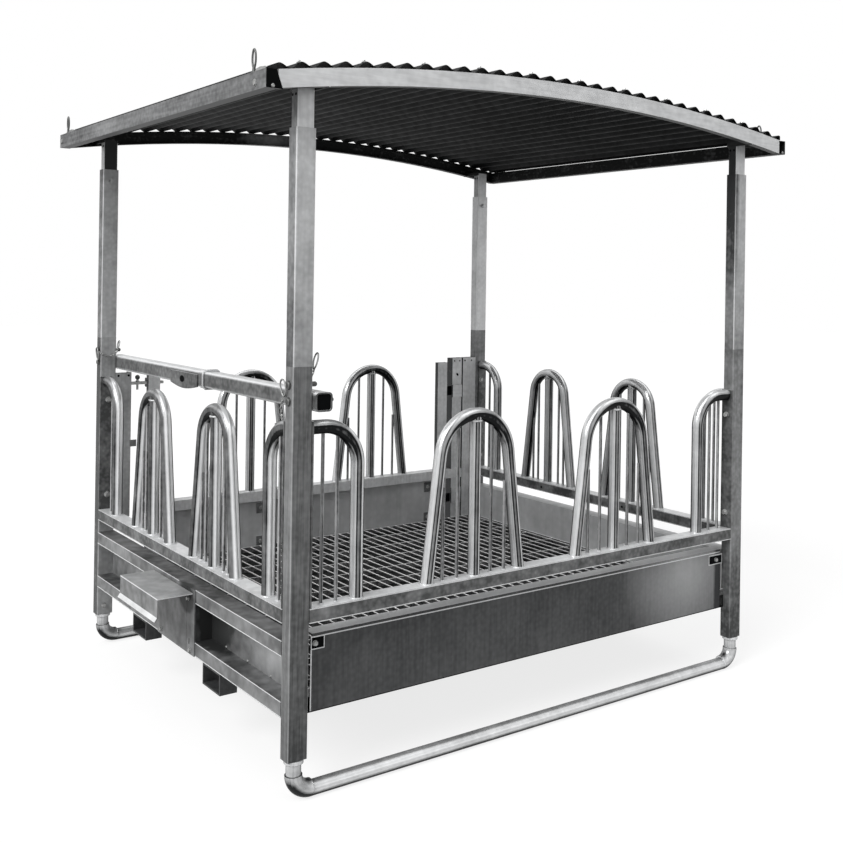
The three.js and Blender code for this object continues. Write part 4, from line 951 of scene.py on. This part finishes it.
for corner, (signX, y) in eye["places"].items():
    x = signX * eye["x"]
    mesh = bmesh.new()
    tall = eye["collarTall"]
    collar = eye["collar"]
    stem = eye["stem"]
    straight, narrowed = eye["taperShares"]
    centreZ = eye["top"] - eye["wire"] / 2 - eye["halfTall"]
    stemTop = centreZ - eye["halfTall"] - eye["seat"] + eye["stemBite"]
    profile = [(0, collar), (tall * straight, collar), (tall, collar * narrowed)]
    profile += [(tall + eye["step"], stem), (stemTop, stem * narrowed)]
    addTurned(mesh, (x, y, eye["seat"]), upward, profile, eye["stemSides"])
    loop = [(x, y + eye["halfWide"] * c, centreZ + eye["halfTall"] * s) for c, s in arc(eye["steps"])]
    addTube(mesh, loop, eye["wire"] / 2, eye["wireSides"], closed=True)
    name = "lifting_eye_" + corner
    newFastener(name + "_forged", mesh, "roof", "dulledPlating", name)

    mesh = bmesh.new()
    outline = []
    for long, tall in eye["lugShares"]:
        place = y - eye["lugFrom"] - eye["lugLong"] * long
        height = eye["seat"] - eye["lugSink"] + eye["lugTall"] * tall
        outline.append((x - eye["lugThick"] / 2, place, height))
    addProfile(mesh, outline, outRight, eye["lugThick"])
    newPiece("lifting_lug_" + corner, mesh, "zincPlatedFastener", "roof")
print("lifting eyes fitted")

# dark plate over the open front end of the left eave, painted shade inside the channel: its outline in x and
# z
eaveEndShade = {
    "outline": [(-1222, 2157), (-1167, 2157), (-1188, 2213), (-1222, 2213)],
    "y": -965,
    "thick": 1.2,
}
mesh = bmesh.new()
addProfile(mesh, [(x, eaveEndShade["y"], z) for x, z in eaveEndShade["outline"]], outFront, eaveEndShade["thick"])
newPiece("eave_end_shade_front_left", mesh, "unlitBore", "roof")

# top bar: square tube with round corners, and the collar and plate near its middle
topBar = {
    "low": (-1004.7, 1195),
    "size": 60,
    "wall": 5,
    "corner": 13,
    "halfLong": 903,
    "collar": (-82, -45),
    "collarThick": 4,
    "weldWire": (3, 4.4),
    "weldSides": 8,
    "plate": {"near": -34, "far": 215, "top": 1241, "low": 1195, "bulge": 15, "thick": 6, "steps": 16},
    "hole": {"y": 103, "z": 1215, "halfY": 21, "halfZ": 13, "steps": 28},
    "darkFrom": 900,
    "darkThick": 0.5,
}


def roundedSquare(low, size, corner, steps=6):
    # corners of a square of the XZ plane, each turned with a radius
    points = []
    for cornerX, cornerZ, start in ((1, 0, -90), (1, 1, 0), (0, 1, 90), (0, 0, 180)):
        x = low[0] + (size - corner if cornerX else corner)
        z = low[1] + (size - corner if cornerZ else corner)
        for c, s in arc(steps, math.pi / 2, math.radians(start)):
            points.append((x + corner * c, z + corner * s))
    return points


def innerSquare(bar):
    wall = bar["wall"]
    return roundedSquare([edge + wall for edge in bar["low"]], bar["size"] - 2 * wall, bar["corner"] - wall)


def addHollowBar(mesh, bar):
    # a square tube along Y with open ends; rings are outer front, outer rear, inner front, inner rear
    rings = []
    for outline in (roundedSquare(bar["low"], bar["size"], bar["corner"]), innerSquare(bar)):
        for y in (-bar["halfLong"], bar["halfLong"]):
            rings.append([mesh.verts.new((x, y, z)) for x, z in outline])
    spans = [(rings[a], rings[b]) for a, b in ((0, 1), (3, 2), (2, 0), (1, 3))]
    bmesh.ops.recalc_face_normals(mesh, faces=joinRings(mesh, spans))


mesh = bmesh.new()
addHollowBar(mesh, topBar)
near, far = topBar["collar"]
thick = topBar["collarThick"]
low = (topBar["low"][0] - thick, topBar["low"][1] - thick)
collar = roundedSquare(low, topBar["size"] + 2 * thick, topBar["corner"] + thick)
addProfile(mesh, [(x, near, z) for x, z in collar], outRear, far - near)
plate = topBar["plate"]
outline = [(plate["far"], plate["top"])]
for i in range(plate["steps"] + 1):
    share = i / plate["steps"]
    y = plate["far"] + (plate["near"] - plate["far"]) * share
    outline.append((y, plate["low"] - plate["bulge"] * math.sin(math.pi * share)))
outline.append((plate["near"], plate["top"]))
x = topBar["low"][0]
addProfile(mesh, [(x, y, z) for y, z in outline], outLeft, plate["thick"])
newPiece("top_bar_welded", mesh, "hotDipBar", "frame", True, "top_bar")

mesh = bmesh.new()
ring = [(x, near, z) for x, z in collar]
wire = [dice.uniform(*topBar["weldWire"]) for _ in ring]
addTube(mesh, ring, wire, topBar["weldSides"], closed=True)
newPiece("top_bar_welds", mesh, "galvanisedWeldBead", "frame", True)

# dark discs that paint shade: an oval one for a hole through the plate, and one inside the tube for its dark
# end
mesh = bmesh.new()
hole = topBar["hole"]
face = x - plate["thick"]
oval = [(face, hole["y"] + hole["halfY"] * c, hole["z"] + hole["halfZ"] * s) for c, s in arc(hole["steps"])]
addProfile(mesh, oval, outLeft, topBar["darkThick"])
inner = [(x, -topBar["darkFrom"], z) for x, z in innerSquare(topBar)]
addProfile(mesh, inner, outRear, topBar["darkThick"])
newPiece("top_bar_hollows", mesh, "unlitBore", "frame")
print("top bar welded")

# pins through the left posts: round shank, thin collar and a ball on the end
pin = {
    "faceX": -1075.3,
    "y": 860,
    "bar": {"height": 1227, "end": -918.7},
    "lock": {"height": 1278, "end": -979},
    "head": [(-8, 6), (-7.4, 8.5), (-6, 10.6), (-3.5, 11.6), (-1, 11), (-0.9, 14.5), (0, 14.5)],
    "step": 0.05,
    "shank": 8,
    "tip": 4,
    "tipShare": 0.7,
    "sides": 26,
}

for kind in ("bar", "lock"):
    spec = pin[kind]
    long = spec["end"] - pin["faceX"]
    shank = pin["shank"]
    profile = pin["head"] + [(pin["step"], shank), (long - pin["tip"], shank)]
    profile.append((long, shank * pin["tipShare"]))
    for end, sign in (("front", -1), ("rear", 1)):
        name = f"{kind}_pin_{end}"
        mesh = bmesh.new()
        addTurned(mesh, (pin["faceX"], sign * pin["y"], spec["height"]), outRight, profile, pin["sides"])
        newFastener(name + "_turned", mesh, name, "dulledPlating", name)

# rings and chains that keep the pins from being lost
keeper = {
    "wire": 2.8,
    "steps": 36,
    "sides": 10,
    # centre, half width along Y and half height, lean in X from the middle to the top, and how far
    # the ring narrows towards its foot
    "rings": {
        "front_outer": {"centre": (-1083, -838, 1268), "half": (20, 26), "lean": -3, "narrowShare": 0.4},
        "front_inner": {"centre": (-986, -866, 1350), "half": (13, 24), "lean": 6, "narrowShare": 0.2},
        "rear_outer": {"centre": (-1084, 850, 1262), "half": (16, 28), "lean": -3, "narrowShare": 0.5},
        "rear_inner": {"centre": (-999, 829, 1300), "half": (11, 19), "lean": 4, "narrowShare": 0.3},
    },
    "rides": {"front_outer": "lock_pin_front", "rear_outer": "lock_pin_rear"},
    "chains": {
        "front_outer": [(-1083, -838, 1237), (-1083, -826, 1212), (-1081, -822, 1188), (-1081, -830, 1170)],
        "front_inner": [(-990, -866, 1326), (-996, -862, 1305), (-1000, -858, 1292)],
        "rear_drape": [
            (-1080, 838, 1272),
            (-1068, 830, 1262),
            (-1048, 829, 1254),
            (-1028, 829, 1256),
            (-1008, 829, 1268),
            (-999, 829, 1284),
        ],
    },
    "link": {"long": 9, "reachShare": 0.68, "half": 3.2, "wire": 1.5, "steps": 14, "sides": 7},
}


def addRing(mesh, ring):
    # a wire ring that hangs in the YZ plane, like a drop with its point down
    centre = ring["centre"]
    points = []
    for c, s in arc(keeper["steps"]):
        wide = ring["half"][0] * (1 - ring["narrowShare"] * (1 - s) / 2)
        points.append((centre[0] + ring["lean"] * s, centre[1] + wide * c, centre[2] + ring["half"][1] * s))
    addTube(mesh, points, keeper["wire"], keeper["sides"], closed=True)


def addChain(mesh, route, link):
    # links along the route, each turned a quarter from the last
    route = [Vector(p) for p in route]
    lengths = [(b - a).length for a, b in zip(route, route[1:])]
    total = sum(lengths)
    count = max(int(total / link["long"]), 2)
    for i in range(count):
        reach = (i + 0.5) / count * total
        k = 0
        while k < len(lengths) - 1 and reach > lengths[k]:
            reach -= lengths[k]
            k += 1
        along = (route[k + 1] - route[k]).normalized()
        centre = route[k] + along * reach
        other = Vector((1, 0, 0)) if abs(along.x) < 0.8 else Vector((0, 1, 0))
        side = along.cross(other).normalized()
        if i % 2:
            side = along.cross(side).normalized()
        ahead = link["long"] * link["reachShare"]
        oval = [centre + along * c * ahead + side * s * link["half"] for c, s in arc(link["steps"])]
        addTube(mesh, oval, link["wire"], link["sides"], closed=True)


for name, ring in keeper["rings"].items():
    mesh = bmesh.new()
    addRing(mesh, ring)
    newFastener("linch_ring_" + name, mesh, keeper["rides"].get(name, "frame"))
for name, route in keeper["chains"].items():
    mesh = bmesh.new()
    addChain(mesh, route, keeper["link"])
    newFastener("keeper_chain_" + name, mesh, "frame")
print("pins, rings and chains fitted")

# ball on top of the drop pin, turned from its foot to its crown in steps of so many degrees
ball = {"centre": (-899, 858, 1153), "radius": 11, "reachDeg": 80, "stepDeg": 20}
profile = []
for degrees in range(-ball["reachDeg"], ball["reachDeg"] + 1, ball["stepDeg"]):
    turn = math.radians(degrees)
    profile.append((ball["radius"] * math.sin(turn), ball["radius"] * math.cos(turn)))
mesh = bmesh.new()
addTurned(mesh, ball["centre"], upward, profile)
newFastener("drop_pin_ball", mesh, "drop_pin", "dulledPlating")

# bolts: the body, the width and height of the head, the washer's radius, and each place and direction
boltRows = {
    "flange_front": (
        "frame", 19, 8, 13,
        [((x, -858, z), (-x, 0, 0)) for x in (-998.7, 998.7) for z in (652, 1060)],
    ),
    "flange_side": (
        "frame", 19, 8, 13,
        [((x, y, z), (0, -y, 0)) for x in (-1040, 1040) for y in (-828.7, 828.7) for z in (652, 1064)],
    ),
    "eave": (
        "roof", 17, 3, 12,
        [((x, y, z), (x, 0, 0)) for x in (-1222, 1222) for y, z in ((-893, 2179), (938, 2183))],
    ),
    "eave_end": ("roof", 8, 2, 6, [((x, y, 2164), (0, y, 0)) for x in (-1200, 1204) for y in (-965, 965)]),
    "splice": (
        "frame", 13, 6, 9,
        [((-1080, y, z), outLeft) for y, z in ((-146, 450), (-166, 269), (99, 273))],
    ),
    "recess": ("frame", 13, 6, 9, [((-1008, -147, 312), outLeft)]),
    "panel_front": ("frame", 15, 6, 9, [((x, -857, z), outFront) for x, z in ((-968, 470), (944, 461))]),
    "gate_panel": ("gate", 15, 6, 10, [((x, 847, z), outFront) for x in (-283, 702) for z in (346, 505)]),
    "post_foot": (
        "frame", 17, 7, 11,
        [((x, y, 168), (0, -y, 0)) for x in (-1044, 1044) for y in (-835, 835)],
    ),
}
for name, (body, across, tall, washer, places) in boltRows.items():
    mesh = bmesh.new()
    for centre, axis in places:
        addHexBolt(mesh, centre, axis, across, tall, washer)
    newFastener("bolts_" + name, mesh, body)

# plates under bolts, and other small flat pieces: the body, the finish, and the two corners of each
plateEdge = 0.8
plateRows = {
    # the panel's edge and rims and the hinge leaves take the front roof beam's finish, with painted light on
    # their front faces
    "panel_front_edge": ("frame", "hotDipRoofBeam", [((-982, -854, 259), (-977, -851, 488))]),
    "panel_front_rims": (
        "frame", "hotDipRoofBeam",
        [((-982, -855.2, 449), (-932, -854, 491)), ((902, -855.2, 440), (988, -854, 482))],
    ),
    "panel_front_tabs": (
        "frame", "unlitBore",
        [((-978, -857, 453), (-936, -855, 487)), ((908, -857, 445), (982, -855, 477))],
    ),
    "gate_panel_tabs": (
        "gate", "hotDipRail",
        [((x - 22, 847, z - 26), (x + 22, 850.8, z + 26)) for x in (-283, 702) for z in (346, 505)],
    ),
    "keeper_tab": ("frame", "hotDipRail", [((-941, 829, 851), (-911, 835, 881))]),
    "splice_slots": ("frame", "dulledPlating", [((-1081.5, -159, 289), (-1080, -153, 309))]),
    "hinge_leaves": (
        "gate", "hotDipRoofBeam",
        [((848, 829, low), (908, 835, high)) for low, high in ((978, 1043), (405, 465))],
    ),
    # dark plates that paint the shade seen through the hinge's windows
    "hinge_windows": (
        "gate", "unlitBore",
        [((811, 846, low), (849, 848, high)) for low, high in ((986, 1036), (412, 458))],
    ),
}
for name, (body, finish, boxes) in plateRows.items():
    mesh = bmesh.new()
    for low, high in boxes:
        addPlate(mesh, low, high, plateEdge)
    newPiece(name, mesh, finish, body)

# rivets along the lower edge of the left sheet
rivets = {
    "places": [(-1008, y, 309) for y in (-644, -478, -312)],
    "dome": [(0, 5), (1.6, 4.6), (2.8, 3), (3.2, 1)],
    "sides": 14,
}
mesh = bmesh.new()
for place in rivets["places"]:
    addTurned(mesh, place, outLeft, rivets["dome"], rivets["sides"])
newFastener("rivets_base_left", mesh, "frame")

# open holes, each a thin dark disc a hair proud of its face that paints the shade inside the hole: the body,
# the radius, the direction and each place
holeDisc = {"rim": 0.5, "thick": 0.6, "topShare": 0.9, "sides": 18}
holeRows = {
    "keeper": ("frame", 5, outFront, [(x, 834.7, 1165) for x in (-994, -948)]),
    "gate_top": ("gate", 4.5, outFront, [(x, 834.7, 1171) for x in (861, 896)]),
    "gate_slot": ("gate", 6, outFront, [(883, 834.7, 1095), (879, 834.7, 1100)]),
    "hinge_top": ("frame", 4.5, outFront, [(x, 834.7, 1171) for x in (932, 977)]),
    "roof_legs": (
        "roof", 4.5, outLeft,
        [(x, sign * y, 2167) for x in (-1070.3, 1009.7) for sign in (-1, 1) for y in (849, 869)],
    ),
    "rail_right": ("frame", 6, outLeft, [(1014.7, y, 564) for y in (298, -258)]),
}
for name, (body, radius, axis, places) in holeRows.items():
    mesh = bmesh.new()
    top = radius * holeDisc["topShare"]
    for centre in places:
        profile = [(0, radius), (holeDisc["rim"], radius), (holeDisc["thick"], top)]
        addTurned(mesh, centre, axis, profile, holeDisc["sides"])
    newPiece("holes_" + name, mesh, "unlitBore", body, True)
print("bolts, tabs and holes fitted")

# studio: pale floor, soft high light from the left, white background
studio = {
    "floorSize": 60,
    "floorDropMm": 0.6,
    "floorColour": "#888888",
    "floorBounce": "#a0a0a0",
    "floorGlow": 0.8,
    "skyGlow": 0.25,
    "suns": {
        "key": {"towards": (-0.76, -0.2, 0.62), "angleDeg": 34, "strength": 2.6},
        "top": {"towards": (0.1, -0.1, 1.0), "angleDeg": 80, "strength": 0.9},
        "front": {"towards": (0.25, -0.95, 0.55), "angleDeg": 60, "strength": 0.25},
    },
}


def seenDirectly(tree):
    # 1 for camera, glossy and transmission rays, 0 for the rays that light the object
    rays = addNode(tree, "ShaderNodeLightPath")
    seen = rays.outputs["Is Camera Ray"]
    for kind in ("Is Glossy Ray", "Is Transmission Ray"):
        pair = {0: seen, 1: rays.outputs[kind]}
        seen = addNode(tree, "ShaderNodeMath", {"operation": "MAXIMUM"}, pair).outputs[0]
    return seen


floorMaterial = bpy.data.materials.new("paleStudioFloor")
tree = emptyTree(floorMaterial)
bounce = addNode(tree, "ShaderNodeBsdfDiffuse", None, {"Color": linearColour(studio["floorBounce"])})
shadowed = addNode(tree, "ShaderNodeBsdfDiffuse", None, {"Color": linearColour(studio["floorColour"])})
glow = addNode(tree, "ShaderNodeEmission", None, {"Strength": studio["floorGlow"]})
white = addNode(tree, "ShaderNodeAddShader", None, {0: shadowed.outputs[0], 1: glow.outputs[0]})
ends = {0: seenDirectly(tree), 1: bounce.outputs[0], 2: white.outputs[0]}
choice = addNode(tree, "ShaderNodeMixShader", None, ends)
addNode(tree, "ShaderNodeOutputMaterial", None, {"Surface": choice.outputs[0]})

mesh = bmesh.new()
bmesh.ops.create_grid(mesh, x_segments=4, y_segments=4, size=studio["floorSize"] / 2)
studioFloor = addObject("studioFloor", meshData("studioFloor", mesh, floorMaterial))
studioFloor.location.z = -studio["floorDropMm"] * mm

world = bpy.data.worlds.new("whiteStudio")
bpy.context.scene.world = world
tree = emptyTree(world)
span = {"Value": seenDirectly(tree), "To Min": studio["skyGlow"], "To Max": 1.0}
strength = addNode(tree, "ShaderNodeMapRange", None, span).outputs["Result"]
backdrop = {"Color": linearColour("#ffffff"), "Strength": strength}
sky = addNode(tree, "ShaderNodeBackground", None, backdrop)
addNode(tree, "ShaderNodeOutputWorld", None, {"Surface": sky.outputs[0]})

for name, sun in studio["suns"].items():
    data = bpy.data.lights.new(name + "Sun", "SUN")
    data.energy = sun["strength"]
    data.angle = math.radians(sun["angleDeg"])
    lamp = addObject(name + "Sun", data)
    lamp.rotation_euler = Vector(sun["towards"]).to_track_quat("Z", "Y").to_euler()
print("studio lit")
